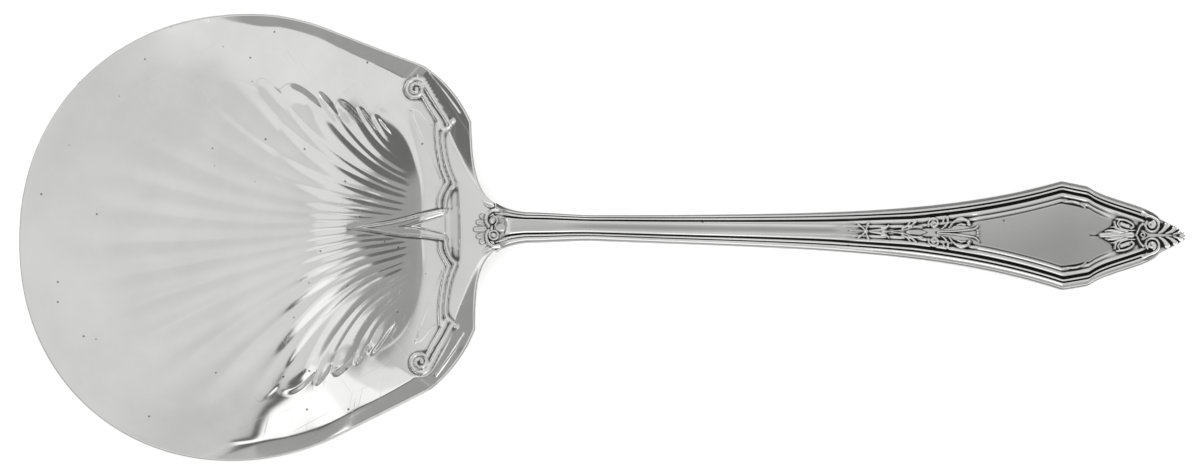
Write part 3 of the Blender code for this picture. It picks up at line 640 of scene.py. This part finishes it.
def bowl_mesh():
    """The bowl: rings of vertices from its middle out over the rim and back under to the middle."""
    half = half_angles()
    angles = np.concatenate((half, 360 - half[-2:0:-1]))
    degrees = np.where(angles > 180, 360 - angles, angles)
    edge = edge_radius(degrees)
    turn = np.radians(angles)
    sparse = 0.34
    shares = np.concatenate((np.linspace(0.012, sparse, 34), np.linspace(sparse, 1.0, 165)[1:]))
    reach = (edge - RIM_ROUND) * (np.cos(turn), np.sin(turn))
    x, y = shares[:, None] * reach[:, None, :]
    top, under = bowl_heights(x, y)
    dark = bowl_tarnish_and_painted_shade(x, y, top)
    lip_angle = np.radians(np.linspace(70, -70, 6))[:, None]
    lip_radius = edge[None, :] - RIM_ROUND + RIM_ROUND * np.cos(lip_angle)
    middle, thick = (top[-1] + under[-1]) / 2, (top[-1] - under[-1]) / 2
    lip = (lip_radius * np.cos(turn), lip_radius * np.sin(turn), middle + thick * np.sin(lip_angle))
    back = np.concatenate((np.linspace(1.0, sparse, 60), np.linspace(sparse, 0.015, 10)[1:]))
    bx, by = back[:, None] * reach[:, None, :]
    rows = [np.stack((x, y, top), -1), np.stack(lip, -1), np.stack((bx, by, bowl_heights(bx, by)[1]), -1)]
    rings = np.concatenate(rows)
    columns = len(angles)
    middle_top, middle_under = bowl_heights(np.zeros(1), np.zeros(1))
    vertices = np.vstack((rings.reshape(-1, 3), ((0, 0, middle_top[0]), (0, 0, middle_under[0]))))
    faces = grid_faces(len(rings), columns, True).tolist()
    last = (len(rings) - 1) * columns
    for column in range(columns):
        follow = (column + 1) % columns
        faces.append((len(vertices) - 2, follow, column))
        faces.append((len(vertices) - 1, last + column, last + follow))
    rim = np.full(lip[2].size, RIM_TARNISH)
    tarnish_and_painted_shade = np.concatenate((dark.ravel(), rim, np.zeros(len(vertices) - dark.size - rim.size)))
    return make_mesh("bowl", vertices, [face[::-1] for face in faces], {"tarnish_and_painted_shade": tarnish_and_painted_shade})


NECK = bezier(SHOULDER, *NECK_PULLS, NECK_END, 300)
CROWN_CURVE = bezier((SECOND_CORNER, CROWN_HALF - CROWN_STEP), (SECOND_CORNER + 1.6, 4.0),
                     (CROWN_END - 1.4, 3.4), (CROWN_END, 2.0), 80)


def drawn_half(along):
    """Half width of the handle by distance from the heel, with sharp corners."""
    neck = np.interp(HEEL_X + along, NECK[:, 0], NECK[:, 1])
    waist = mix(NECK_END[1], WAIST_HALF, ease(NECK_LENGTH, WAIST_PLACE, along))
    share = np.clip((along - WAIST_PLACE) / (CROWN_CORNER - WAIST_PLACE), 0, 1)
    flare = mix(WAIST_HALF, CROWN_HALF, mix(share ** FLARE_POWER, share, FLARE_SHARE))
    flat = CROWN_HALF - CROWN_STEP * (along - CROWN_CORNER) / (SECOND_CORNER - CROWN_CORNER)
    crown = np.interp(along, CROWN_CURVE[:, 0], CROWN_CURVE[:, 1])
    share = np.clip((along - CROWN_END) / (HANDLE_LENGTH - CROWN_END), 0, 1)
    swell = FINIAL_SWELL * np.abs(np.sin(math.pi * share * FINIAL_LEAVES)) * (1 - share)
    finial = mix(FINIAL_TIP, FINIAL_HALF, (1 - share) ** FINIAL_TAPER) + swell
    ends = (NECK_LENGTH, WAIST_PLACE, CROWN_CORNER, SECOND_CORNER, CROWN_END)
    return np.select([along < end for end in ends], [neck, waist, flare, flat, crown], finial)


def handle_half(along):
    """Half width of the handle by distance from the heel, with its corners worn round."""
    steps = np.linspace(-1, 1, 9)
    weights = np.exp(-(2 * steps) ** 2)
    near = np.clip(along[..., None] + steps * CORNER_WEAR, 0, HANDLE_LENGTH)
    return (drawn_half(near) * weights).sum(axis=-1) / weights.sum()


def handle_back():
    """Height of the handle's back: nearly straight, level where it rests."""
    start = heel_plane(BUTT_X) - SHEET - SOLDER_GAP - DROP_THICKNESS
    rest = HANDLE_LENGTH - REST_FROM_TIP
    pairs = [(0.0, start), (NECK_LENGTH, start)]
    for share in (0.25, 0.5, 0.75, 0.92):
        height = start * (1 - share) + HANDLE_BOW * math.sin(math.pi * share)
        pairs.append((mix(NECK_LENGTH, rest, share), height))
    return smooth_table(*pairs, (rest, 0.0), (HANDLE_LENGTH, 0.0))


HANDLE_BACK = handle_back()
NECK_THICKNESS = LIP_RISE + SHEET + SOLDER_GAP + DROP_THICKNESS
HANDLE_THICKNESS = smooth_table(
    (0.0, NECK_THICKNESS), (NECK_LENGTH, NECK_THICKNESS), (24.0, 2.3), (CROWN_CORNER, 2.05),
    (CROWN_END, 2.05), (HANDLE_LENGTH, 1.3),
)

# Profiles of the border by distance in from the edge, as heights against the outer bead
PANEL_PROFILE = smooth_table(
    (0, -0.6), (0.08, -0.42), (0.2, -0.3), (0.42, -0.12), (0.52, -0.06), (0.58, -0.09), (0.65, -0.3),
    (0.72, -0.3), (0.8, -0.07), (0.88, 0), (0.97, -0.05), (1.07, -0.36), (1.17, -0.42), (1.27, -0.36),
    (1.38, -0.06), (1.56, 0.02), (1.7, -0.04), (1.84, -0.17), (1.9, -0.18), (1.98, -0.1), (2.1, -0.05),
    (2.22, -0.1), (2.34, -0.28), (2.42, -0.3), (BORDER, -0.27),
)
STEM_PROFILE = smooth_table(
    (0, -0.5), (0.1, -0.22), (0.3, -0.03), (0.45, 0), (0.6, -0.06), (0.7, -0.2), (0.8, -0.06), (0.95, 0),
    (1.1, -0.06), (1.22, -0.3), (1.34, -0.3), (1.5, -0.06), (1.9, 0.05), (BORDER, 0.1),
)


def border_scale(half):
    """How much the border's mouldings are drawn together where the handle is narrow."""
    return np.minimum(1.0, BORDER_SHARE * half / BORDER)


def handle_ornament():
    """Struck ornament of the handle on the +Y side: points or line, half width, height, leaf, vein."""
    return [
        (((40.4, 0), (40.55, 0.02), (40.7, 0)), 0.2, 0.24),
        (((40.35, 0.2), (40.1, 0.42), (39.75, 0.64)), (0.1, 0.18), 0.24),
        (((40.6, 0.25), (40.65, 0.52), (40.78, 0.84)), (0.1, 0.18), 0.24),
        (((40.15, 0), (39.5, 0.03), (38.8, 0)), (0.14, 0.1), 0.2),
        (((40.95, 0.04), (41.8, 0.14), (42.5, 0.24)), (0.13, 0.22), 0.22),
        (((42.3, 0.28), (42.7, 0.36), (43.0, 0.68)), (0.22, 0.13), 0.26),
        (((42.4, 0), (42.8, 0.02), (43.2, 0)), (0.22, 0.1), 0.24),
        (((43.3, 0.04), (44.6, 0.2), (45.6, 0.48), (46.6, 0.55)), (0.09, 0.2), 0.26),
        (((44.5, 0.36), (44.95, 0.6), (45.3, 1.0)), (0.18, 0.11), 0.26),
        (((45.2, 0.6), (45.6, 0.8), (46.0, 1.12)), (0.18, 0.13), 0.26),
        (((44.9, 0), (46.0, 0.05), (47.1, 0)), 0.36, 0.2, True),
        (spiral((47.93, 0.96), 0.62, 0.12, 205, -1.45), (0.15, 0.2), (0.24, 0.34)),
        (((48.8, 0.42), (49.2, 0.75), (49.45, 1.2), (49.4, 1.6)), (0.13, 0.2), 0.28),
        (((48.95, 1.3), (49.0, 1.42), (48.98, 1.5)), 0.14, 0.24),
        (((49.6, 0.55), (50.0, 1.05), (50.5, 1.42), (51.1, 1.52), (51.6, 1.28), (51.8, 0.95)),
         (0.13, 0.25), 0.3),
        (((50.5, 0.85), (50.95, 0.98), (51.35, 0.9)), 0.12, 0.22),
        (((48.3, 0.08), (50.2, 0.16), (51.6, 0.32), (52.4, 0.5), (52.75, 0.8)), (0.1, 0.14), 0.26),
        (((52.66, 0), (52.72, 0.02), (52.78, 0)), 0.13, 0.22),
        (((52.66, 0.3), (52.72, 0.32), (52.78, 0.3)), 0.13, 0.22),
        (((61.95, 3.72), (62.3, 3.62), (62.6, 3.6)), 0.12, 0.2),
        (((62.75, 3.62), (63.3, 3.6), (63.9, 3.42)), 0.15, 0.26),
        (((64.1, 3.3), (64.3, 3.2), (64.5, 3.05)), 0.13, 0.22),
        (((66.2, 0), (67.2, 0.1), (68.4, 0.12), (69.6, 0.05)), (0.26, 0.3), 0.34, False, 0.35),
        (((68.8, 0.2), (67.8, 0.42), (67.1, 0.5), (66.6, 0.42)), (0.2, 0.24), 0.36, True),
        (((69.2, 0.35), (68.2, 0.6), (67.6, 0.85), (67.2, 0.85)), (0.2, 0.22), 0.38, True),
        (((67.9, 0.75), (67.75, 1.1), (67.7, 1.45)), (0.18, 0.15), 0.36),
        (((68.45, 1.2), (68.8, 1.08), (69.2, 0.95)), 0.28, 0.36),
        (((69.9, 0.5), (69.2, 0.5), (68.4, 0.75), (68.05, 1.2), (68.2, 1.6)), 0.1, 0.3),
        (((67.9, 1.75), (68.8, 1.62), (69.5, 1.3), (69.75, 0.95), (69.5, 0.75)), (0.14, 0.17), 0.34),
        (((70.05, 0.05), (70.25, 0.45), (70.45, 0.9), (70.75, 1.2)), (0.13, 0.17), 0.4),
        (spiral((70.75, 0), 0.2, 0.2, 0, 1.0), 0.1, 0.4),
        (spiral((71.7, 1.15), 0.42, 0.1, 60, -1.3), 0.2, (0.46, 0.52)),
        (((71.25, 1.5), (71.05, 1.05), (71.25, 0.6), (71.75, 0.38), (72.25, 0.55), (72.5, 1.0),
          (72.4, 1.5), (72.0, 1.85), (71.4, 2.1), (70.7, 2.35)), (0.17, 0.2), (0.46, 0.25)),
        (((72.55, 0.24), (73.0, 0.55), (73.4, 1.05)), (0.13, 0.36), (0.34, 0.46), False, 0.2),
        (((73.35, 0.2), (73.9, 0.45), (74.3, 0.76)), (0.13, 0.33), (0.34, 0.46), False, 0.2),
        (((74.15, 0.14), (74.6, 0.26), (74.95, 0.36)), (0.13, 0.28), (0.34, 0.44)),
        (((75.0, 0), (75.2, 0.02), (75.35, 0)), 0.3, 0.44),
    ]


def handle_top(along, y):
    """Height of the handle's face, and how satin it is with painted shade and a painted dark streak, at
    places on it.
    """
    half = handle_half(along)
    inward = (half - np.abs(y)) / border_scale(half)
    face = mix(STEM_PROFILE(inward), PANEL_PROFILE(inward), ease(*BORDER_CHANGE, along))
    finial = ease(*FINIAL_START, along)
    bevel = BEVEL * np.clip(1 - inward / BEVEL_WIDTH, 0, 1) ** 2
    face = mix(face, FINIAL_GROUND - bevel, finial)
    struck = within(GROUND, along) * ease(*GROUND_EDGE, inward)
    crown = ease(*CROWN_START, along) * (1 - finial) * ease(*CROWN_EDGE, inward)
    face = mix(face, np.minimum(face, CROWN_GROUND), crown)
    relief = np.zeros(along.shape)
    across = np.abs(y)
    for item in handle_ornament():
        press(relief, along, across, *item)
    engrave(relief, along, across, BUD, BUD_WIDTH, BUD_DEPTH)
    satin_and_painted_shade = within(PANEL, along) * ease(*PANEL_EDGE, inward) * (relief < 0.01)
    # painted shade: the panel's satin darkens slantwise towards the finial and the -Y side
    painted_shade_sweep = (along - PAINTED_SHADE_FROM) / PAINTED_SHADE_RUN - y / PAINTED_SHADE_SPREAD
    satin_and_painted_shade = satin_and_painted_shade * mix(*PAINTED_SHADE_SHARES, ease(0, 1, painted_shade_sweep))
    # painted dark reflection along the stem's crest, carried with the satin
    painted_dark_streak = within(PAINTED_DARK_STREAK, along) * np.exp(-(y / PAINTED_DARK_STREAK_WIDTH) ** 2)
    level = HANDLE_BACK(along) + HANDLE_THICKNESS(along)
    lifted = level + face - GROUND_DEPTH * struck + relief
    top = mix(heel_plane(BUTT_X) + BUTT_PROUD, lifted, ease(*HANDLE_STARTS, along))
    return top, np.maximum(satin_and_painted_shade, painted_dark_streak)


def handle_stations():
    """Places along the handle where its section is drawn, close where it is ornate."""
    runs = [np.arange(0.68, 4, 0.08), np.arange(4, 38, 0.3), np.arange(38, 53, 0.075),
            np.arange(53, 61.5, 0.2), np.arange(61.5, HANDLE_LENGTH, 0.075),
            (CROWN_CORNER, SECOND_CORNER, HANDLE_LENGTH)]
    places = np.sort(np.concatenate(runs))
    return places[np.concatenate(([True], np.diff(places) > 0.012))]


def place_handle(along, y, z):
    """Places on the handle in the spoon's own axes."""
    x = HEEL_X + along * math.cos(HANDLE_SET) - y * math.sin(HANDLE_SET)
    return np.stack((x, along * math.sin(HANDLE_SET) + y * math.cos(HANDLE_SET), z), axis=-1)


def handle_wear_and_painted_light(along, y, top, inward):
    """Tarnish with painted shade on the outer roll, darker at +Y, and bright wear with painted highlight
    lines, on the handle's face, each from 0 to 1.
    """
    level = HANDLE_BACK(along) + HANDLE_THICKNESS(along)
    dark, bright = sunk_and_proud(top - level, HANDLE_SUNK)
    # painted highlight lines on both sides of the stem's crest, carried as wear
    painted_highlight_lines = within(PAINTED_HIGHLIGHT, along) * np.exp(-((np.abs(y) - PAINTED_HIGHLIGHT_PLACE) / PAINTED_HIGHLIGHT_WIDTH) ** 2)
    bright = np.maximum(bright, mix(*PAINTED_HIGHLIGHT_LIGHT, ease(-0.5, 0.5, y)) * painted_highlight_lines)
    # painted shade on the outer roll, stronger on the +Y side
    painted_roll_shade = mix(*ROLL_PAINTED_SHADE, ease(-1.0, 1.0, y)) * (1 - ease(*ROLL_SHADE_EDGE, inward))
    return np.maximum(dark, painted_roll_shade), bright


def handle_body():
    """Vertices, faces and finish of the handle, with its painted shade and painted highlights, from its butt
    to the tip of the finial.
    """
    along = handle_stations()
    half = handle_half(along)
    scale = border_scale(half)
    border = np.linspace(0, BORDER, 42)
    outer = half[:, None] - border[None, :] * scale[:, None]
    inner = outer[:, -1:] * np.linspace(1, -1, 62)[None, 1:-1]
    y = np.concatenate((outer, inner, -outer[:, ::-1]), axis=1)
    places = np.repeat(along[:, None], y.shape[1], axis=1)
    top, satin_and_painted_shade = handle_top(places, y)
    back = HANDLE_BACK(along)
    corner = np.minimum(EDGE_ROUND, half * 0.4)
    rounding = ((0, 1.0), (0.04, 0.5), (0.35, 0.12), (1.0, 0))
    under = [(-half + corner * inset, back + corner * lift) for inset, lift in rounding]
    under += [(half * share, back) for share in (-0.48, -0.18, 0.18, 0.48)]
    under += [(half - corner * inset, back + corner * lift) for inset, lift in rounding[::-1]]
    under = np.stack([np.stack((along, *place), -1) for place in under], axis=1)
    ring = np.concatenate((np.stack((places, y, top), -1), under), axis=1)
    rows, columns = ring.shape[:2]
    faces = grid_faces(rows, columns, True).tolist()
    faces.append(list(range(columns))[::-1])
    faces.append([(rows - 1) * columns + column for column in range(columns)])
    dark, bright = handle_wear_and_painted_light(places, y, top, (half[:, None] - np.abs(y)) / scale[:, None])
    blank = np.zeros((rows, columns - y.shape[1]))
    edges = blank.copy()
    # painted shade on the handle's side walls and rounded under edges
    edges[:, [0, 1, 2, -3, -2, -1]] = EDGE_PAINTED_SHADE
    vertex_numbers = [np.concatenate(pair, axis=1).ravel()
              for pair in ((dark, edges), (bright, blank), (satin_and_painted_shade, blank))]
    vertices = place_handle(ring[..., 0], ring[..., 1], ring[..., 2]).reshape(-1, 3)
    return vertices, faces, vertex_numbers


def terminal_ornament():
    """Scrolls and palmette where the handle laps onto the heel, listed as the handle's ornament is."""
    upper = ((0.9, 1.72), (0.3, 1.7), (-0.15, 1.42), (-0.36, 0.95), (-0.34, 0.45), (-0.1, 0.02))
    lower = ((0.95, -2.05), (0.4, -2.15), (-0.05, -1.9), (-0.3, -1.4), (-0.32, -0.9), (-0.12, -0.46))
    items = [
        (upper, 0.28, (0.6, 0.7)),
        (lower, 0.28, (0.6, 0.7)),
        (((0.25, 0.6), (0.33, 0.68), (0.4, 0.75)), 0.5, 0.62),
        (((0.4, 1.12), (0.76, 0.9), (0.8, 0.45), (0.55, 0.05)), 0.15, 0.74),
        (spiral((0.42, -0.98), 0.5, 0.44, 150, -1.0), 0.18, 0.74),
        (((0.35, -0.95), (0.42, -0.98), (0.5, -1.0)), 0.45, 0.72),
        (((0.6, 1.38), (1.3, 1.32), (2.6, 1.2)), (0.12, 0.2), (0.5, 0.6)),
        (((0.7, -1.7), (1.4, -1.5), (2.6, -1.25)), (0.12, 0.2), (0.5, 0.6)),
        (((0.9, -0.15), (1.5, -0.15), (2.6, -0.1)), (0.6, 0.75), (0.58, 0.62)),
    ]
    leaves = (((-0.4, 0.85), (-0.85, 1.15)), ((-0.5, 0.4), (-1.2, 0.5)), ((-0.5, -0.22), (-1.5, -0.25)),
              ((-0.5, -0.85), (-1.2, -1.0)), ((-0.4, -1.3), (-0.85, -1.6)))
    for root, tip in leaves:
        items.append(((root, tip), (0.44, 0.36), (0.32, 0.26), False, 0.3))
    for side in (1, -1):
        bud = ((0.5, 2.15 * side), (-0.2, 2.35 * side), (-0.8, 2.85 * side))
        items.append((bud, 0.34, 0.4, True, 0.3))
    return items


def terminal():
    """Vertices, faces and finish of the scroll lip, whose foot lies just inside the heel plate."""
    cell = 0.045
    along, y = np.meshgrid(np.arange(-2.4, 2.65, cell), np.arange(-3.1, 3.1, cell), indexing="ij")
    relief = np.zeros(along.shape)
    for item in terminal_ornament():
        press(relief, along, y, *item)
    foot = heel_plane(HEEL_X + np.minimum(along, LAP_FLAT)) - TERMINAL_SINK
    top = foot + relief
    dark, bright = sunk_and_proud(top, TERMINAL_SUNK)
    raised = relief > 0.02
    keep = raised[:-1, :-1] | raised[1:, :-1] | raised[:-1, 1:] | raised[1:, 1:]
    under = place_handle(along, y, foot - TERMINAL_ROOT)
    vertices, faces, used = slab(place_handle(along, y, top), under, keep)
    vertex_numbers = [np.concatenate((values.ravel()[used], np.zeros(len(used))))
              for values in (dark, bright, 0 * dark)]
    return vertices, faces, vertex_numbers


def lap_width(along, length, half):
    """Half width of a lap under the heel that ends in a round tongue."""
    return half * np.sqrt(np.clip(1 - (np.clip(-along, 0, None) / length) ** LAP_ROUNDNESS, 0.0004, 1))


def drop():
    """Vertices, faces and finish of the rounded drop under the heel, which the solder holds."""
    length, half, edge = 3.2, 2.1, 0.25
    along, share = np.meshgrid(np.linspace(-length, 1.4, 48), np.linspace(-1, 1, 41), indexing="ij")
    width = lap_width(along, length, half)
    y = share * width
    roof = heel_plane(HEEL_X + np.minimum(along, LAP_FLAT)) - SHEET - SOLDER_GAP
    round_off = np.sqrt(np.clip(1 - share ** 2 * 0.92, 0, 1)) * np.sqrt(width / half)
    belly = roof - mix(edge, DROP_THICKNESS, round_off)
    vertices, faces, _ = slab(place_handle(along, y, roof), place_handle(along, y, belly))
    return vertices, faces, np.zeros((3, len(vertices)))


def handle_mesh():
    """The whole handle: its body, the scroll lip above the heel and the drop below it."""
    parts = (handle_body(), terminal(), drop())
    faces = []
    count = 0
    for vertices, own_faces, _ in parts:
        faces += [[index + count for index in face] for face in own_faces]
        count += len(vertices)
    numbers = {name: np.concatenate([part[2][row] for part in parts])
               for row, name in enumerate(VERTEX_NUMBER_NAMES)}
    return make_mesh("handle", np.concatenate([part[0] for part in parts]), faces, numbers)


def solder_mesh():
    """The film of solder in the lap: a thin tongue with a hollow fillet round its edge."""
    length, half, film, fillet = 3.05, 1.95, 0.1, 0.04
    along, share = np.meshgrid(np.linspace(-length, 0.5, 40), np.linspace(-1, 1, 31), indexing="ij")
    y = share * lap_width(along, length, half)
    under = heel_plane(HEEL_X + along) - SHEET - SOLDER_GAP / 2
    thick = film + fillet * np.abs(share) ** 6
    vertices, faces, _ = slab(place_handle(along, y, under + thick), place_handle(along, y, under - thick))
    return make_mesh("solder_film", vertices, faces, {})


class Nodes:
    """Builds a node tree with short calls."""

    def __init__(self, tree):
        self.tree = tree

    def add(self, kind, links=None, **settings):
        node = self.tree.nodes.new("ShaderNode" + kind)
        for name, value in settings.items():
            setattr(node, name, value)
        for socket, source in (links or {}).items():
            if isinstance(source, bpy.types.NodeSocket):
                self.tree.links.new(source, node.inputs[socket])
            else:
                node.inputs[socket].default_value = source
        return node

    def times(self, a, b):
        return self.add("Math", {0: a, 1: b}, operation="MULTIPLY").outputs[0]

    def plus(self, a, b):
        return self.add("Math", {0: a, 1: b}, operation="ADD").outputs[0]

    def mix(self, share, a, b):
        return self.add("Mix", {0: share, 2: a, 3: b}).outputs[0]

    def noise(self, place, scale, detail=2.0, rough=0.5):
        links = {"Vector": place, "Scale": scale, "Detail": detail, "Roughness": rough}
        return self.add("TexNoise", links).outputs["Fac"]

    def ramp(self, value, low, high, start=0.0, end=1.0):
        links = {"Value": value, "From Min": low, "From Max": high, "To Min": start, "To Max": end}
        return self.add("MapRange", links, interpolation_type="SMOOTHSTEP").outputs[0]

    def stretched(self, place, scale, turn):
        links = {"Vector": place, "Angle": math.radians(turn)}
        turned = self.add("VectorRotate", links, rotation_type="Z_AXIS").outputs[0]
        return self.add("VectorMath", {0: turned, 1: scale}, operation="MULTIPLY").outputs[0]


def new_material(name):
    """A material, its nodes, its shader's inputs and the place on the piece."""
    material = bpy.data.materials.new(name)
    material.use_nodes = True
    nodes = Nodes(material.node_tree)
    place = nodes.add("TexCoord").outputs["Object"]
    return material, nodes, material.node_tree.nodes["Principled BSDF"].inputs, place


def silver(name, polish, tone, satin_rough):
    """Old silver: polished, with scratches, pits, a bloom of wear and tarnish left in the recesses, and the
    painted shade and painted highlights kept at the vertices.
    """
    material, nodes, shader, place = new_material(name)
    shader["Metallic"].default_value = 1.0
    dark, worn_and_painted_highlight, satin_and_painted_shade = (nodes.add("Attribute", attribute_name=label).outputs["Fac"]
                         for label in VERTEX_NUMBER_NAMES)
    bloom = nodes.noise(place, 120.0, 4.0, 0.6)
    fine = nodes.noise(place, 900.0, 3.0, 0.6)
    pits = nodes.add("TexVoronoi", {"Vector": place, "Scale": 700.0, "Randomness": 1.0})
    rare = nodes.add("SeparateColor", {"Color": pits.outputs["Color"]}).outputs[0]
    pit = nodes.times(nodes.ramp(pits.outputs["Distance"], 0.13, 0.04), nodes.ramp(rare, 0.7, 0.8))
    scratches = 0.0
    for turn, scale in ((12, (7000, 110, 110)), (-34, (9000, 140, 140)), (63, (8000, 90, 90))):
        line = nodes.noise(nodes.stretched(place, scale, turn), 1.0)
        scratches = nodes.plus(scratches, nodes.ramp(line, 0.68, 0.76))
    # colour lightened by wear and painted highlights, darkened by tarnish and painted shade, and by satin
    # and painted shade
    grey = nodes.mix(nodes.ramp(worn_and_painted_highlight, 0.05, 0.4), tone, 0.97)
    grey = nodes.mix(nodes.ramp(dark, 0.2, 0.9), grey, 0.03)
    grey = nodes.times(grey, nodes.ramp(satin_and_painted_shade, 0.0, 1.0, 1.0, 0.72))
    grey = nodes.times(grey, nodes.ramp(bloom, 0.25, 0.75, 0.93, 1.02))
    grey = nodes.times(grey, nodes.ramp(pit, 0.0, 1.0, 1.0, 0.35))
    colour = nodes.add("CombineColor", {0: grey, 1: grey, 2: nodes.times(grey, 0.985)})
    rough = nodes.ramp(bloom, 0.3, 0.75, polish * 0.75, polish * 1.35)
    rough = nodes.plus(rough, nodes.times(scratches, 0.05))
    rough = nodes.plus(rough, nodes.times(dark, 0.25))
    rough = nodes.mix(satin_and_painted_shade, rough, satin_rough)
    height = nodes.plus(nodes.times(fine, 0.25), nodes.times(scratches, -0.35))
    height = nodes.plus(height, nodes.times(pit, -1.2))
    bump = nodes.add("Bump", {"Height": height, "Strength": 0.12, "Distance": 0.00006})
    links = material.node_tree.links
    links.new(colour.outputs[0], shader["Base Color"])
    links.new(rough, shader["Roughness"])
    links.new(bump.outputs[0], shader["Normal"])
    return material


def add_object(name, data):
    """A new object in the scene."""
    made = bpy.data.objects.new(name, data)
    bpy.context.collection.objects.link(made)
    return made


def add_piece(node, mesh, material):
    """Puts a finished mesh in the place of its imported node."""
    mesh.materials.append(material)
    piece = add_object(node + "_silver", mesh)
    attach(piece, "root")
    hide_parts(node)


# Middle of the picture along X, in metres
SPOON_MIDDLE = 0.0385


def add_floor():
    """A round pale floor, wider than the picture."""
    sides, radius, drop_below = 96, 0.38, 0.00005
    turns = [2 * math.pi * side / sides for side in range(sides)]
    ring = [(radius * math.cos(turn) + SPOON_MIDDLE, radius * math.sin(turn), -drop_below) for turn in turns]
    mesh = bpy.data.meshes.new("floor")
    mesh.from_pydata(ring, [], [list(range(sides))])
    material, nodes, shader, place = new_material("floor_paper")
    grain = nodes.ramp(nodes.noise(place, 300.0, 3.0), 0.3, 0.7, 0.9, 0.92)
    colour = nodes.add("CombineColor", {0: grain, 1: grain, 2: grain})
    material.node_tree.links.new(colour.outputs[0], shader["Base Color"])
    shader["Roughness"].default_value = 0.9
    shader["Specular IOR Level"].default_value = 0.0
    mesh.materials.append(material)
    floor = add_object("floor", mesh)


# Studio panels, later over earlier: azimuth, half width, lowest, highest, soft edge in degrees; brightness
STUDIO = (
    (90, 24, -20, 12, 4, 0.48),
    (132, 20, -20, 12, 5, 0.33),
    (76, 26, 12, 46, 4, 0.58),
    (280, 28, -20, 28, 4, 0.52),
    (228, 22, -20, 28, 5, 0.34),
    (262, 44, 30, 58, 4, 0.76),
    (190, 21, -20, 27, 3, 0.15),
    (195, 23, 27, 50, 3, 0.74),
    (163, 15, -20, 30, 3, 0.32),
    (171, 5, 14, 32, 4, 0.35),
    (130, 14, 13, 42, 2, 0.1),
    (111, 8, 13, 36, 2, 0.1),
    (149, 9, 24, 47, 3, 0.8),
    (139, 7, 22, 36, 3, 0.98),
    (117, 14, 22, 31, 2, 1.15),
    (86, 10, 13, 22, 3, 0.75),
    (273, 9, 18, 40, 3, 1.5),
)
HORIZON_LIGHT = 0.2
TOP_LIGHT = 0.64
BACKDROP_LIGHT = 0.93


def add_world():
    """Studio light by direction: a pale tent, dark at its open end, with softboxes beside that end."""
    world = bpy.data.worlds.new("studio")
    bpy.context.scene.world = world
    world.use_nodes = True
    nodes = Nodes(world.node_tree)
    world.node_tree.nodes.clear()
    way = nodes.add("TexCoord").outputs["Generated"]
    rise = nodes.add("SeparateXYZ", {0: way}).outputs[2]
    level = nodes.add("VectorMath", {0: way, 1: (1, 1, 0)}, operation="MULTIPLY").outputs[0]
    level = nodes.add("VectorMath", {0: level}, operation="NORMALIZE").outputs[0]
    total = nodes.ramp(rise, 0.1, 0.95, HORIZON_LIGHT, TOP_LIGHT)
    aside = nodes.add("SeparateXYZ", {0: way}).outputs[1]
    total = nodes.times(total, nodes.ramp(aside, -0.3, 0.45, 0.97, 1.07))
    for azimuth, half, low, high, soft, bright in STUDIO:
        aim = (*polar(1, azimuth), 0)
        facing = nodes.add("VectorMath", {0: level, 1: aim}, operation="DOT_PRODUCT").outputs[1]
        inside = nodes.ramp(facing, math.cos(math.radians(half + soft)), math.cos(math.radians(half)))
        edges = [math.sin(math.radians(place)) for place in (low, low + soft, high, high + soft)]
        inside = nodes.times(inside, nodes.ramp(rise, edges[0], edges[1]))
        inside = nodes.times(inside, nodes.ramp(rise, edges[3], edges[2]))
        total = nodes.mix(inside, total, bright)
    seen = nodes.add("LightPath").outputs["Is Camera Ray"]
    strength = nodes.mix(seen, total, BACKDROP_LIGHT)
    backdrop = nodes.add("Background", {"Color": (1, 1, 1, 1), "Strength": strength})
    output = nodes.add("OutputWorld")
    world.node_tree.links.new(backdrop.outputs[0], output.inputs[0])


def add_lamp():
    """A large soft lamp above, that the silver doesn't mirror."""
    place, aim = Vector((0.04, -0.1, 0.9)), Vector((0.04, 0, 0))
    lamp = bpy.data.lights.new("lamp_above", "AREA")
    lamp.shape = "DISK"
    lamp.size = 1.2
    lamp.energy = 13.0
    made = add_object("lamp_above", lamp)
    made.location = place
    made.rotation_euler = (aim - place).to_track_quat("-Z", "Y").to_euler()
    made.visible_glossy = False


def add_camera():
    """The photograph's view: nearly straight down, from a little to the -Y side and slightly turned."""
    tilt, turn = math.radians(7.12), math.radians(1.25)
    distance, pixels_per_metre, width, aside = 0.6, 9177.0, 1200, 2.75
    view = Matrix.Rotation(tilt, 3, "X") @ Matrix.Rotation(-turn, 3, "Z")
    right, back = view.col[0], view.col[2]
    camera = bpy.data.cameras.new("camera")
    camera.sensor_width = 36.0
    camera.lens = distance * camera.sensor_width * pixels_per_metre / width
    camera.clip_start = 0.01
    made = add_object("camera", camera)
    place = Vector((SPOON_MIDDLE, 0, 0)) + back * distance + right * (aside / pixels_per_metre)
    made.matrix_world = Matrix.Translation(place) @ view.to_4x4()
    bpy.context.scene.camera = made


add_piece("bowl", bowl_mesh(), silver("bowl_silver", 0.1, 0.95, 0.3))
add_piece("handle", handle_mesh(), silver("handle_silver", 0.1, 0.72, 0.4))
add_piece("solder_film", solder_mesh(), silver("silver_solder", 0.35, 0.75, 0.4))
add_floor()
add_world()
add_lamp()
add_camera()
bpy.context.scene.view_settings.view_transform = "Standard"
